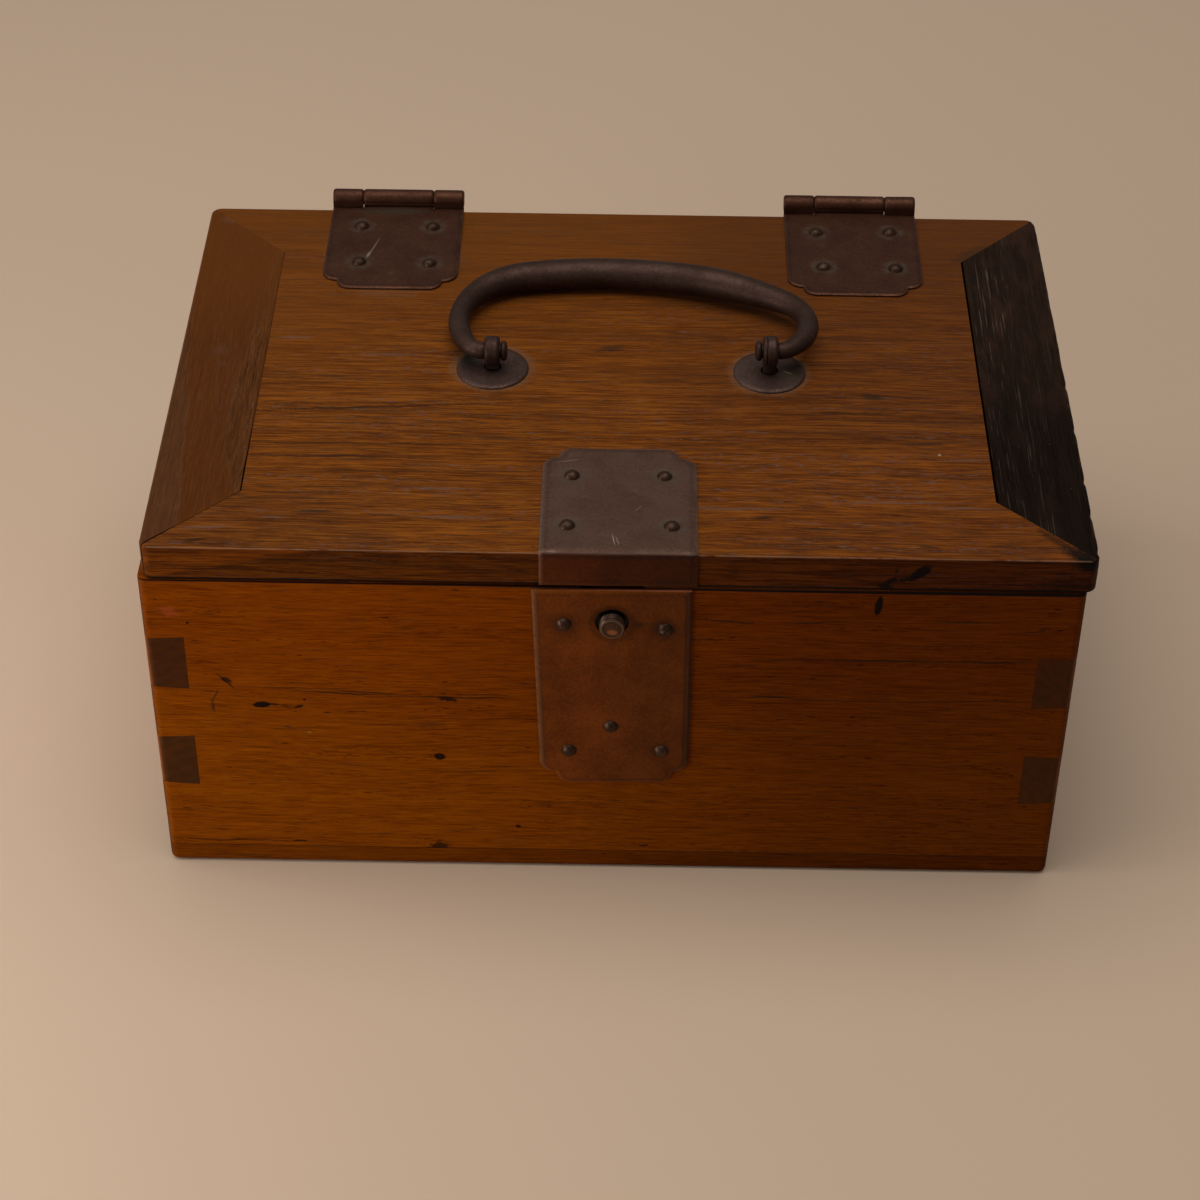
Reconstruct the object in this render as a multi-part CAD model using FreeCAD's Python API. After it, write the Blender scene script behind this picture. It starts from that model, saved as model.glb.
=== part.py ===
import FreeCAD, Part
import math
import os

# A small wooden box with a hinged lid, a bail handle and a push-button catch.
# Millimetres. X runs to the right, Y to the back and Z up.
# The origin is the centre of the box's underside, where it stands.

# Case: four dovetailed walls on a bottom board
case_width = 240.6
case_depth = 158.5
wall_height = 94.0
wall_thickness = 9.5
side_wall_thickness = 10.4
bottom_thickness = 6.4
case_corner_round = 2.2
case_bottom_round = 1.8
case_rim_round = 0.4

# Dovetail pins of the side boards, two at each corner
pin_height = 16.4
pin_flare = 0.7
pin_spacing = 34.4
left_pin_rise = 1.8
right_pin_rise = -0.8

# Wooden pegs up through the bottom board
peg_radius = 1.3
peg_length = 20.0
front_peg_count = 4
front_peg_inset = 24.0
side_peg_count = 2
side_peg_inset = 44.0

# Lid: a panel with a mitred end cap at each side
lid_width = case_width
lid_thickness = 10.25
lid_shift = 1.325
lid_right_flare = 0.75
lid_gap = 0.3
lid_back_gap = 0.2
lid_corner_round = 3.0
lid_top_round = 0.8
lid_under_round = 0.4
cap_width = 23.5
tongue_length = 7.0
tongue_thickness = 3.4
tongue_inset = 7.0
groove_slack = 0.5

# Domed nails
nail_head_radius = 2.0
nail_head_height = 1.35
nail_shank_radius = 0.7
nail_shank_length = 7.6
nail_point_length = 2.0
pilot_clearance = 0.03

# Lobed corners of the metal plates
outer_lobe = 4.3
inner_lobe = 3.9

# Two surface hinges
left_hinge_inset = 55.9
right_hinge_inset = 52.9
leaf_width = 38.2
leaf_reach = 41.8
leaf_thickness = 0.9
knuckle_radius = 2.5
hinge_pin_radius = 1.3
hinge_pin_clearance = 0.05
middle_knuckle = 20.4
knuckle_gap = 0.1
leaf_gap = 0.3
lid_leaf_nails = {
    "left": [(-9.9, 10.1), (10.7, 10.1), (-9.2, 28.9), (10.8, 29.1)],
    "right": [(-10.1, 10.1), (11.3, 9.5), (-8.7, 28.1), (11.8, 28.4)],
}
case_leaf_nail_spacing = 20.8
case_leaf_nail_near = 8.6
case_leaf_nail_far = 27.2

# Lid plate, bent over the lid's front edge
lid_plate_centre = 1.55
lid_plate_width = 39.9
lid_plate_reach = 43.0
lid_plate_thickness = 1.0
lid_plate_bend = 1.0
flange_rise = 0.4
lid_plate_nails = [(-12.8, 10.2), (13.7, 10.3), (-12.0, 30.9), (11.9, 30.9)]

# Lock plate on the front
lock_plate_centre = 0.7
lock_plate_width = 39.4
lock_plate_flare = 0.65
lock_plate_height = 67.1
lock_plate_thickness = 1.1
lock_plate_drop = 0.4
lock_plate_tilt = -1.2
lock_plate_nails = [(-12.1, 11.9), (13.8, 13.2), (-10.7, 55.7), (13.6, 55.5)]

# Push button and the leaf spring that it bears on
button_x = 0.2
button_drop = 11.4
button_radius = 3.35
button_hole_radius = 4.3
button_proud = 2.3
button_edge_round = 0.6
button_flange_radius = 5.0
button_flange_thickness = 0.9
button_travel = 2.0
button_clearance = 0.05
spring_rivet_drop = 47.0
spring_width = 9.0
spring_thickness = 0.8
spring_foot = 10.0
spring_ramp = 9.0
spring_setback = 2.9
mortise_width = 16.0
mortise_slack = 0.8
mortise_foot_gap = 2.0
rivet_shank_radius = 1.2
rivet_tail_radius = 2.0
rivet_tail_height = 0.7

# Catch tongue on the lid, and the spring's nose that enters its eye
tongue_plate_width = 11.0
tongue_plate_thickness = 1.2
tongue_plate_drop = 6.6
tongue_plate_rise = 7.0
tongue_plate_joggle = 1.1
tongue_recess_clearance = 0.3
eye_window_width = 6.4
eye_window_height = 3.0
eye_window_bar = 1.3
nose_width = 5.6
nose_height = 2.4
nose_reach = 1.4
nose_clearance = 0.2

# Bail handle in two strap eyes
handle_x = 4.15
handle_y = -0.2
eye_spacing = 75.1
right_eye_lift = 1.3
washer_radius = 9.85
washer_thickness = 0.9
washer_edge = 0.3
eye_strap_width = 4.1
eye_strap_wall = 2.0
eye_strap_round = 0.8
eye_neck = 1.6
eye_leg_width = 3.6
eye_leg_thickness = 1.3
eye_foot_length = 12.0
eye_hole_clearance = 0.1
bail_pin_radius = 2.0
bail_pin_clearance = 0.1
bail_end_gap = 0.25
bail_knob_radius = 2.8
bail_knob_length = 1.8
bail_end_radius = 2.3
bail_side_radius = 2.9
bail_crown_radius = 4.35
bail_rest_gap = 0.15

# Bends of the bail from the left eye round to the right one, as (radius, turn)
bail_start = 0.3
bail_left_elbow_bend = 4.6
bail_left_elbow_turn = 60.0
bail_left_side_bend = 26.0
bail_left_side_turn = 61.0
bail_left_shoulder_bend = 20.6
bail_left_shoulder_turn = 48.0
bail_crown_turn = 24.5
bail_slope_turn = 22.5
bail_right_side_bend = 15.2
bail_right_side_turn = 104.0
bail_right_elbow_bend = 4.5
short_bend_steps = 3
long_bend_steps = 4
round_bend_steps = 6

# Places that follow from the sizes above
case_height = bottom_thickness + wall_height
case_front = -case_depth / 2
case_back = case_depth / 2
inner_front = case_front + wall_thickness
inner_back = case_back - wall_thickness
lid_bottom = case_height + lid_gap
lid_top = lid_bottom + lid_thickness
lid_left = lid_shift - lid_width / 2
lid_right = lid_shift + lid_width / 2
lid_back = case_back - lid_back_gap
hinge_axis_y = case_back + knuckle_radius
hinge_axis_z = lid_top + knuckle_radius
hinge_places = {
    "left": left_hinge_inset - case_width / 2,
    "right": case_width / 2 - right_hinge_inset,
}
lock_plate_top = case_height - lock_plate_drop
button_z = case_height - button_drop
spring_front = case_front + spring_setback
mortise_depth = spring_setback + spring_thickness + button_travel + mortise_slack
eye_bore_radius = bail_pin_radius + bail_pin_clearance
eye_outer_radius = eye_bore_radius + eye_strap_wall
eye_rise = washer_thickness + eye_neck + eye_outer_radius
eye_z = lid_top + eye_rise
eye_places = {
    "left": handle_x - eye_spacing / 2,
    "right": handle_x + eye_spacing / 2,
}
eye_levels = {"left": eye_z - right_eye_lift / 2, "right": eye_z + right_eye_lift / 2}
axis_slope = right_eye_lift / eye_spacing

X_AXIS = FreeCAD.Vector(1, 0, 0)
Y_AXIS = FreeCAD.Vector(0, 1, 0)
Z_AXIS = FreeCAD.Vector(0, 0, 1)
ORIGIN = FreeCAD.Vector(0, 0, 0)
BAIL_AXIS = FreeCAD.Vector(1, 0, axis_slope).normalize()
reach_past = 1.0
same_level = 1e-4


def vector(x, y, z):
    return FreeCAD.Vector(x, y, z)


def block(x0, x1, y0, y1, z0, z1):
    """A box between two corners."""
    return Part.makeBox(x1 - x0, y1 - y0, z1 - z0, vector(x0, y0, z0))


def rod(radius, start, direction, length):
    return Part.makeCylinder(radius, length, start, direction)


def extruded(points, travel):
    """A solid swept from a closed outline of straight edges."""
    return Part.Face(Part.makePolygon(points + points[:1])).extrude(travel)


def clean_union(shapes):
    return shapes[0].fuse(shapes[1:]).removeSplitter()


def edges_where(shape, test):
    return [edge for edge in shape.Edges if test(edge.BoundBox)]


def rounded_block(x0, x1, y0, y1, z0, z1, corner, top, under, flare=0.0):
    """A box with rounded edges, its right end further out at the front by flare."""
    outline = [vector(x0, y0, z0), vector(x1 + flare, y0, z0), vector(x1, y1, z0), vector(x0, y1, z0)]
    shape = extruded(outline, vector(0, 0, z1 - z0))
    upright = edges_where(shape, lambda b: b.ZLength > (z1 - z0) / 2)
    shape = shape.makeFillet(corner, upright)
    for level, radius in ((z1, top), (z0, under)):
        rim = edges_where(
            shape, lambda b: b.ZLength < same_level and abs(b.ZMin - level) < same_level
        )
        shape = shape.makeFillet(radius, rim)
    return shape


def lobed_plate(width, length, thickness, flare=0.0):
    """A plate from y=0 to y=length, with two small lobes at each far corner.

    At y=0 it is wider by flare at each side.
    """
    half = width / 2
    near_half = half + flare
    cusp = half - outer_lobe
    flat = cusp - inner_lobe
    lobe_level = length - inner_lobe
    side_level = lobe_level - outer_lobe
    slant = math.sqrt(0.5)

    def quarter(centre_x, centre_y, radius, side):
        start = vector(side * (centre_x + radius), centre_y, 0)
        middle = vector(
            side * (centre_x + radius * slant), centre_y + radius * slant, 0
        )
        end = vector(side * centre_x, centre_y + radius, 0)
        arc = Part.Arc(start, middle, end)
        return arc.toShape()

    edges = [
        Part.makeLine(vector(-near_half, 0, 0), vector(near_half, 0, 0)),
        Part.makeLine(vector(near_half, 0, 0), vector(half, side_level, 0)),
        quarter(cusp, side_level, outer_lobe, 1),
        quarter(flat, lobe_level, inner_lobe, 1),
        Part.makeLine(vector(flat, length, 0), vector(-flat, length, 0)),
        quarter(flat, lobe_level, inner_lobe, -1),
        quarter(cusp, side_level, outer_lobe, -1),
        Part.makeLine(vector(-half, side_level, 0), vector(-near_half, 0, 0)),
    ]
    outline = Part.Wire(Part.__sortEdges__(edges))
    return Part.Face(outline).extrude(vector(0, 0, thickness))


def nail():
    """A domed nail standing on z=0, with its shank below."""
    dome = (nail_head_radius**2 + nail_head_height**2) / (2 * nail_head_height)
    half_turn = math.asin(nail_head_radius / dome) / 2
    drop = dome * (1 - math.cos(half_turn))
    top = vector(0, 0, nail_head_height)
    middle = vector(dome * math.sin(half_turn), 0, nail_head_height - drop)
    rim = vector(nail_head_radius, 0, 0)
    neck = vector(nail_shank_radius, 0, 0)
    taper = vector(nail_shank_radius, 0, nail_point_length - nail_shank_length)
    point = vector(0, 0, -nail_shank_length)
    edges = [
        Part.Arc(top, middle, rim).toShape(),
        Part.makeLine(rim, neck),
        Part.makeLine(neck, taper),
        Part.makeLine(taper, point),
        Part.makeLine(point, top),
    ]
    return Part.Face(Part.Wire(edges)).revolve(ORIGIN, Z_AXIS, 360)


def facing(shape, place, outward):
    """Turn a piece built along +Z to face outward, and move it into place."""
    turned = shape.copy()
    turned.Placement = FreeCAD.Placement(place, FreeCAD.Rotation(Z_AXIS, outward))
    return turned


def nails_at(places, outward):
    return [facing(nail(), place, outward) for place in places]


def drilled(shape, places, outward, radius, depth):
    """Cut round holes that go in from the places, against outward."""
    above = outward * reach_past
    holes = [
        rod(radius, place + above, outward * -1, depth + reach_past)
        for place in places
    ]
    return shape.cut(holes)


def pilot_holes(shape, places, outward):
    depth = nail_shank_length + pilot_clearance
    return drilled(
        shape, places, outward, nail_shank_radius + pilot_clearance, depth
    )


# Places of the nails, on the outer face of the plate that each one holds
def lid_leaf_nail_places():
    level = lid_top + leaf_thickness
    return [
        vector(hinge_places[side] + x, lid_back - row, level)
        for side in hinge_places for x, row in lid_leaf_nails[side]
    ]


def case_leaf_nail_places():
    level = case_back + leaf_thickness
    half = case_leaf_nail_spacing / 2
    rows = (case_leaf_nail_near, case_leaf_nail_far)
    return [
        vector(hinge_x + x, level, case_height - row)
        for hinge_x in hinge_places.values() for x in (-half, half) for row in rows
    ]


def lid_plate_nail_places():
    level = lid_top + lid_plate_thickness
    return [vector(lid_shift + x, case_front + row, level) for x, row in lid_plate_nails]


def lock_plate_nail_places():
    level = case_front - lock_plate_thickness
    return [vector(x, level, case_height - row) for x, row in lock_plate_nails]


# Case boards
def case_block():
    half = case_width / 2
    return rounded_block(
        -half, half, case_front, case_back, 0, case_height,
        case_corner_round, case_rim_round, case_bottom_round,
    )


def pin_prisms(side, y0, y1):
    """The two dovetail pins of one side board, over the depth of the board they enter."""
    rise = left_pin_rise if side < 0 else right_pin_rise
    middle = bottom_thickness + wall_height / 2 + rise
    outer = case_width / 2 + reach_past
    inner = case_width / 2 - side_wall_thickness
    flare_per_mm = pin_flare / side_wall_thickness
    half_outer = pin_height / 2 - flare_per_mm * reach_past
    half_inner = pin_height / 2 + pin_flare
    prisms = []
    for level in (middle - pin_spacing / 2, middle + pin_spacing / 2):
        outline = [
            vector(side * outer, y0, level - half_outer),
            vector(side * outer, y0, level + half_outer),
            vector(side * inner, y0, level + half_inner),
            vector(side * inner, y0, level - half_inner),
        ]
        prisms.append(extruded(outline, vector(0, y1 - y0, 0)))
    return prisms


def tail_board(y0, y1, outer_y):
    """A front or back board, as wide as the case, notched for the side boards' pins."""
    half = case_width / 2
    board = case_block().common(
        block(-half, half, y0, y1, bottom_thickness, case_height)
    )
    low, high = sorted((outer_y * (1 + reach_past / case_depth), y1 if outer_y < 0 else y0))
    return board.cut(pin_prisms(-1, low, high) + pin_prisms(1, low, high))


def side_board(side):
    half = case_width / 2
    outer = side * half
    inner = side * (half - side_wall_thickness)
    x0, x1 = sorted((outer, inner))
    board = block(x0, x1, inner_front, inner_back, bottom_thickness, case_height)
    pins = pin_prisms(side, case_front, inner_front) + pin_prisms(side, inner_back, case_back)
    return clean_union([board] + pins).common(case_block())


def spread(count, inset, half):
    """Evenly spaced places between two insets from the ends."""
    step = 2 * (half - inset) / (count - 1)
    return [inset - half + step * index for index in range(count)]


def peg_places():
    half_wall = wall_thickness / 2
    side_x = case_width / 2 - side_wall_thickness / 2
    long_rows = spread(front_peg_count, front_peg_inset, case_width / 2)
    short_rows = spread(side_peg_count, side_peg_inset, case_depth / 2)
    front_y = case_front + half_wall
    back_y = case_back - half_wall
    places = [vector(x, y, 0) for x in long_rows for y in (front_y, back_y)]
    return places + [vector(x, y, 0) for x in (-side_x, side_x) for y in short_rows]


def peg_holes(shape):
    return drilled(
        shape, peg_places(), Z_AXIS * -1, peg_radius + pilot_clearance,
        peg_length + pilot_clearance,
    )


def mortise():
    """The hollow behind the lock plate, open to the front and at the rim."""
    half = mortise_width / 2
    low = case_height - spring_rivet_drop - spring_foot / 2 - mortise_foot_gap
    return block(
        button_x - half, button_x + half,
        case_front - reach_past, case_front + mortise_depth,
        low, case_height + reach_past,
    )


def front_board():
    board = tail_board(case_front, inner_front, case_front).cut(mortise())
    board = pilot_holes(board, lock_plate_nail_places(), Y_AXIS * -1)
    return peg_holes(board)


def back_board():
    board = tail_board(inner_back, case_back, case_back)
    board = pilot_holes(board, case_leaf_nail_places(), Y_AXIS)
    return peg_holes(board)


def bottom_board():
    half = case_width / 2
    board = case_block().common(block(-half, half, case_front, case_back, 0, bottom_thickness))
    return peg_holes(board)


def bottom_pegs():
    return [rod(peg_radius, place, Z_AXIS, peg_length) for place in peg_places()]


# Lid
def lid_block():
    return rounded_block(
        lid_left, lid_right, case_front, lid_back, lid_bottom, lid_top,
        lid_corner_round, lid_top_round, lid_under_round, lid_right_flare,
    )


def cap_outline(side):
    """The mitred outline of one end cap, seen from above."""
    outer = lid_shift + side * lid_width / 2
    inner = outer - side * cap_width
    front_corner = outer + lid_right_flare if side > 0 else outer
    return [
        vector(front_corner, case_front, lid_bottom),
        vector(outer, lid_back, lid_bottom),
        vector(inner, lid_back - cap_width, lid_bottom),
        vector(inner, case_front + cap_width, lid_bottom),
    ]


def cap_prism(side):
    return extruded(cap_outline(side), vector(0, 0, lid_thickness))


def tongue_block(side, slack):
    """The tongue of the panel, or its groove in the cap where there is slack."""
    inner = lid_shift + side * (lid_width / 2 - cap_width)
    x0, x1 = sorted((inner, inner + side * (tongue_length + slack)))
    middle = lid_bottom + lid_thickness / 2
    front = case_front + cap_width + tongue_inset
    back = lid_back - cap_width - tongue_inset
    half = tongue_thickness / 2
    return block(x0, x1, front, back, middle - half, middle + half)


def lid_cap(side):
    cap = lid_block().common(cap_prism(side))
    return cap.cut(tongue_block(side, groove_slack))


def tongue_recess():
    """Room for the catch tongue in the lid's front edge."""
    half = tongue_plate_width / 2 + tongue_recess_clearance
    depth = tongue_plate_joggle + tongue_plate_thickness + tongue_recess_clearance
    return block(
        button_x - half, button_x + half,
        case_front - reach_past, case_front + depth,
        lid_bottom - reach_past, lid_bottom + tongue_plate_rise + tongue_recess_clearance,
    )


def eye_leg_hole_radius():
    half_width = eye_leg_width / 2
    return math.hypot(half_width, eye_leg_thickness) + eye_hole_clearance


def lid_panel():
    panel = lid_block().cut([cap_prism(-1), cap_prism(1)])
    panel = clean_union([panel, tongue_block(-1, 0), tongue_block(1, 0)])
    panel = panel.cut(tongue_recess())
    eye_holes = [
        rod(
            eye_leg_hole_radius(), vector(x, handle_y, lid_bottom - reach_past),
            Z_AXIS, lid_thickness + 2 * reach_past,
        )
        for x in eye_places.values()
    ]
    panel = panel.cut(eye_holes)
    nail_places = lid_leaf_nail_places() + lid_plate_nail_places()
    return pilot_holes(panel, nail_places, Z_AXIS)


# Hinges
def knuckle(hinge_x, x0, x1):
    axis_point = vector(hinge_x + x0, hinge_axis_y, hinge_axis_z)
    return rod(knuckle_radius, axis_point, X_AXIS, x1 - x0)


def pin_bore(hinge_x):
    start = vector(hinge_x - leaf_width, hinge_axis_y, hinge_axis_z)
    return rod(hinge_pin_radius + hinge_pin_clearance, start, X_AXIS, 2 * leaf_width)


def nail_clear_holes(plate, places, outward, thickness):
    radius = nail_shank_radius + pilot_clearance
    return drilled(plate, places, outward, radius, thickness + reach_past)


def lid_leaf(hinge_x):
    """The leaf on the lid's top, rolled into the middle knuckle."""
    plate = lobed_plate(leaf_width, leaf_reach, leaf_thickness)
    plate.rotate(ORIGIN, Z_AXIS, 180)
    plate.translate(vector(hinge_x, lid_back, lid_top))
    half = middle_knuckle / 2
    web = block(
        hinge_x - half, hinge_x + half, lid_back, hinge_axis_y,
        lid_top, lid_top + leaf_thickness,
    )
    leaf = clean_union([plate, web, knuckle(hinge_x, -half, half)]).cut(pin_bore(hinge_x))
    return nail_clear_holes(leaf, lid_leaf_nail_places(), Z_AXIS, leaf_thickness)


def case_leaf(hinge_x):
    """The leaf on the case's back, rolled into the two outer knuckles."""
    length = leaf_reach + hinge_axis_z - case_height
    plate = lobed_plate(leaf_width, length, leaf_thickness)
    plate.rotate(ORIGIN, X_AXIS, -90)
    plate.translate(vector(hinge_x, case_back, hinge_axis_z))
    half = leaf_width / 2
    inner = middle_knuckle / 2 + knuckle_gap
    notch = block(
        hinge_x - inner, hinge_x + inner,
        case_back - reach_past, case_back + leaf_thickness + reach_past,
        lid_top - leaf_gap, hinge_axis_z + reach_past,
    )
    pieces = [
        plate.cut(notch),
        knuckle(hinge_x, -half, -inner),
        knuckle(hinge_x, inner, half),
    ]
    leaf = clean_union(pieces).cut(pin_bore(hinge_x))
    return nail_clear_holes(leaf, case_leaf_nail_places(), Y_AXIS, leaf_thickness)


def hinge_pin(hinge_x):
    start = vector(hinge_x - leaf_width / 2, hinge_axis_y, hinge_axis_z)
    return rod(hinge_pin_radius, start, X_AXIS, leaf_width)


# Catch
def lid_plate():
    half = lid_plate_width / 2
    plate = lobed_plate(lid_plate_width, lid_plate_reach, lid_plate_thickness)
    front = case_front - lid_plate_thickness
    plate.translate(vector(lid_plate_centre, front, lid_top))
    flange = block(
        lid_plate_centre - half, lid_plate_centre + half, front, case_front,
        lid_bottom + flange_rise, lid_top + lid_plate_thickness,
    )
    bent = clean_union([plate, flange])
    top_level = lid_top + lid_plate_thickness
    bend = edges_where(
        bent,
        lambda b: b.XLength > half
        and abs(b.YMax - front) < same_level
        and abs(b.ZMin - top_level) < same_level,
    )
    bent = bent.makeFillet(lid_plate_bend, bend)
    return nail_clear_holes(bent, lid_plate_nail_places(), Z_AXIS, lid_plate_thickness)


def lock_plate():
    plate = lobed_plate(
        lock_plate_width, lock_plate_height, lock_plate_thickness, lock_plate_flare
    )
    plate.rotate(ORIGIN, X_AXIS, -90)
    plate.translate(vector(lock_plate_centre, case_front - lock_plate_thickness, lock_plate_top))
    pivot = vector(lock_plate_centre, case_front, lock_plate_top - lock_plate_height / 2)
    plate.rotate(pivot, Y_AXIS, lock_plate_tilt)
    top = block(
        -case_width, case_width, -case_depth, case_depth,
        lock_plate_top, lock_plate_top + lock_plate_height,
    )
    plate = plate.cut(top)
    outward = Y_AXIS * -1
    face = case_front - lock_plate_thickness
    button_hole = [vector(button_x, face, button_z)]
    rivet_hole = [vector(button_x, face, case_height - spring_rivet_drop)]
    depth = lock_plate_thickness + reach_past
    plate = drilled(plate, button_hole, outward, button_hole_radius, depth)
    plate = drilled(plate, rivet_hole, outward, rivet_shank_radius + pilot_clearance, depth)
    return nail_clear_holes(plate, lock_plate_nail_places(), outward, lock_plate_thickness)


def eye_window_floor():
    return lid_bottom - tongue_plate_drop + eye_window_bar


def catch_tongue():
    """Hangs from the lid plate's flange, set back behind the lock plate, with an eye."""
    half = tongue_plate_width / 2
    front = case_front
    back = front + tongue_plate_thickness
    joggle_top = lid_bottom + tongue_plate_joggle
    lower_front = front + tongue_plate_joggle
    lower_back = back + tongue_plate_joggle
    top = lid_bottom + tongue_plate_rise
    low = lid_bottom - tongue_plate_drop
    x0 = button_x - half
    outline = [
        vector(x0, front, top),
        vector(x0, back, top),
        vector(x0, back, joggle_top + tongue_plate_joggle / 2),
        vector(x0, lower_back, lid_bottom + tongue_plate_joggle / 2),
        vector(x0, lower_back, low),
        vector(x0, lower_front, low),
        vector(x0, lower_front, lid_bottom),
        vector(x0, front, joggle_top),
    ]
    tongue = extruded(outline, vector(tongue_plate_width, 0, 0))
    window_half = eye_window_width / 2
    window = block(
        button_x - window_half, button_x + window_half,
        front, lower_back + reach_past,
        eye_window_floor(), eye_window_floor() + eye_window_height,
    )
    return tongue.cut(window)


def latch_spring():
    """A leaf riveted to the lock plate's back, bent away from it, with a wedge nose on top."""
    half = spring_width / 2
    x0 = button_x - half
    rivet_z = case_height - spring_rivet_drop
    foot_low = rivet_z - spring_foot / 2
    foot_high = rivet_z + spring_foot / 2
    ramp_high = foot_high + spring_ramp
    tip = eye_window_floor() + eye_window_height
    outline = [
        vector(x0, case_front, foot_low),
        vector(x0, case_front, foot_high),
        vector(x0, spring_front, ramp_high),
        vector(x0, spring_front, tip),
        vector(x0, spring_front + spring_thickness, tip),
        vector(x0, spring_front + spring_thickness, ramp_high),
        vector(x0, case_front + spring_thickness, foot_high),
        vector(x0, case_front + spring_thickness, foot_low),
    ]
    leaf = extruded(outline, vector(spring_width, 0, 0))
    tongue_back = case_front + tongue_plate_joggle + tongue_plate_thickness
    nose_low = eye_window_floor() + nose_clearance
    nose_x0 = button_x - nose_width / 2
    nose_tip = tongue_back - nose_reach
    nose = extruded(
        [
            vector(nose_x0, spring_front, nose_low),
            vector(nose_x0, nose_tip, nose_low),
            vector(nose_x0, nose_tip, nose_low + nose_height / 3),
            vector(nose_x0, spring_front, nose_low + nose_height),
        ],
        vector(nose_width, 0, 0),
    )
    spring = clean_union([leaf, nose])
    rivet_hole = [vector(button_x, case_front, rivet_z)]
    return drilled(
        spring, rivet_hole, Y_AXIS * -1, rivet_shank_radius + pilot_clearance,
        spring_thickness + reach_past,
    )


def spring_rivet():
    """Its head looks like the nails, and its tail is spread over the spring's foot."""
    head_level = case_front - lock_plate_thickness
    place = vector(button_x, head_level, case_height - spring_rivet_drop)
    grip = lock_plate_thickness + spring_thickness
    head = facing(nail(), place, Y_AXIS * -1).common(
        block(-case_width, case_width, -case_depth, head_level, 0, case_height)
    )
    shank = rod(rivet_shank_radius, place, Y_AXIS, grip + rivet_tail_height)
    tail = rod(rivet_tail_radius, place + vector(0, grip, 0), Y_AXIS, rivet_tail_height)
    return clean_union([head, shank, tail])


def push_button():
    """A round button with a flange behind the lock plate, bearing on the spring."""
    tip_level = case_front - lock_plate_thickness - button_proud
    tip = vector(button_x, tip_level, button_z)
    length = spring_front - button_clearance - tip_level
    barrel = rod(button_radius, tip, Y_AXIS, length)
    crown = edges_where(barrel, lambda b: b.YLength < same_level and abs(b.YMin - tip_level) < same_level)
    barrel = barrel.makeFillet(button_edge_round, crown)
    flange_place = vector(button_x, case_front + button_clearance, button_z)
    flange = rod(button_flange_radius, flange_place, Y_AXIS, button_flange_thickness)
    return clean_union([barrel, flange])


# Handle
def washer(eye_x):
    disc = rod(washer_radius, vector(eye_x, handle_y, lid_top), Z_AXIS, washer_thickness)
    top_level = lid_top + washer_thickness
    rim = edges_where(disc, lambda b: b.ZLength < same_level and abs(b.ZMin - top_level) < same_level)
    disc = disc.makeChamfer(washer_edge, rim)
    hole = rod(
        eye_leg_hole_radius(), vector(eye_x, handle_y, lid_top - reach_past),
        Z_AXIS, washer_thickness + 2 * reach_past,
    )
    return disc.cut(hole)


def handle_eye(eye_x, level):
    """A strap loop whose two legs go through the lid and are bent over under it."""
    centre = vector(eye_x, handle_y, level)
    start = centre - BAIL_AXIS * (eye_strap_width / 2)
    loop = rod(eye_outer_radius, start, BAIL_AXIS, eye_strap_width)
    rims = [edge for edge in loop.Edges if edge.isClosed()]
    loop = loop.makeFillet(eye_strap_round, rims)
    bore_start = start - BAIL_AXIS * reach_past
    bore = rod(eye_bore_radius, bore_start, BAIL_AXIS, eye_strap_width + 2 * reach_past)
    half_leg = eye_leg_width / 2
    foot_low = lid_bottom - eye_leg_thickness
    legs = block(
        eye_x - half_leg, eye_x + half_leg,
        handle_y - eye_leg_thickness, handle_y + eye_leg_thickness,
        foot_low, level - eye_bore_radius,
    )
    foot = block(
        eye_x - half_leg, eye_x + half_leg,
        handle_y - eye_foot_length, handle_y + eye_foot_length,
        foot_low, lid_bottom,
    )
    return clean_union([loop, legs, foot]).cut(bore)


def arc_travel(radius, heading, turn):
    """The step along an arc that turns to the right by an angle in radians."""
    after = heading - turn
    across = radius * (math.sin(heading) - math.sin(after))
    along = radius * (math.cos(after) - math.cos(heading))
    return across, along


def bail_bends():
    """Radius, turn and number of steps of each bend; two radii follow so that the bail closes."""
    half = eye_spacing / 2 + eye_strap_width / 2 + bail_start
    left_bends = [
        (bail_left_elbow_bend, bail_left_elbow_turn, long_bend_steps),
        (bail_left_side_bend, bail_left_side_turn, long_bend_steps),
        (bail_left_shoulder_bend, bail_left_shoulder_turn, short_bend_steps),
    ]
    right_side = (bail_right_side_bend, bail_right_side_turn, round_bend_steps)
    open_turns = (bail_crown_turn, bail_slope_turn)
    turned = sum(bend[1] for bend in left_bends) + sum(open_turns) + bail_right_side_turn
    right_elbow = (bail_right_elbow_bend, 360 - turned, short_bend_steps)
    heading = math.pi
    missing_x = 2 * half
    missing_y = 0.0
    open_bends = []
    crown_bends = [(None, turn, short_bend_steps) for turn in open_turns]
    bends = left_bends + crown_bends + [right_side, right_elbow]
    for radius, turn, _ in bends:
        step = math.radians(turn)
        if radius is None:
            open_bends.append(arc_travel(1.0, heading, step))
        else:
            across, along = arc_travel(radius, heading, step)
            missing_x -= across
            missing_y -= along
        heading -= step
    (x1, y1), (x2, y2) = open_bends
    share = x1 * y2 - x2 * y1
    crown = (missing_x * y2 - x2 * missing_y) / share
    slope = (x1 * missing_y - missing_x * y1) / share
    crown_bends = [
        (crown, bail_crown_turn, short_bend_steps),
        (slope, bail_slope_turn, short_bend_steps),
    ]
    return left_bends + crown_bends + [right_side, right_elbow]


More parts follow.
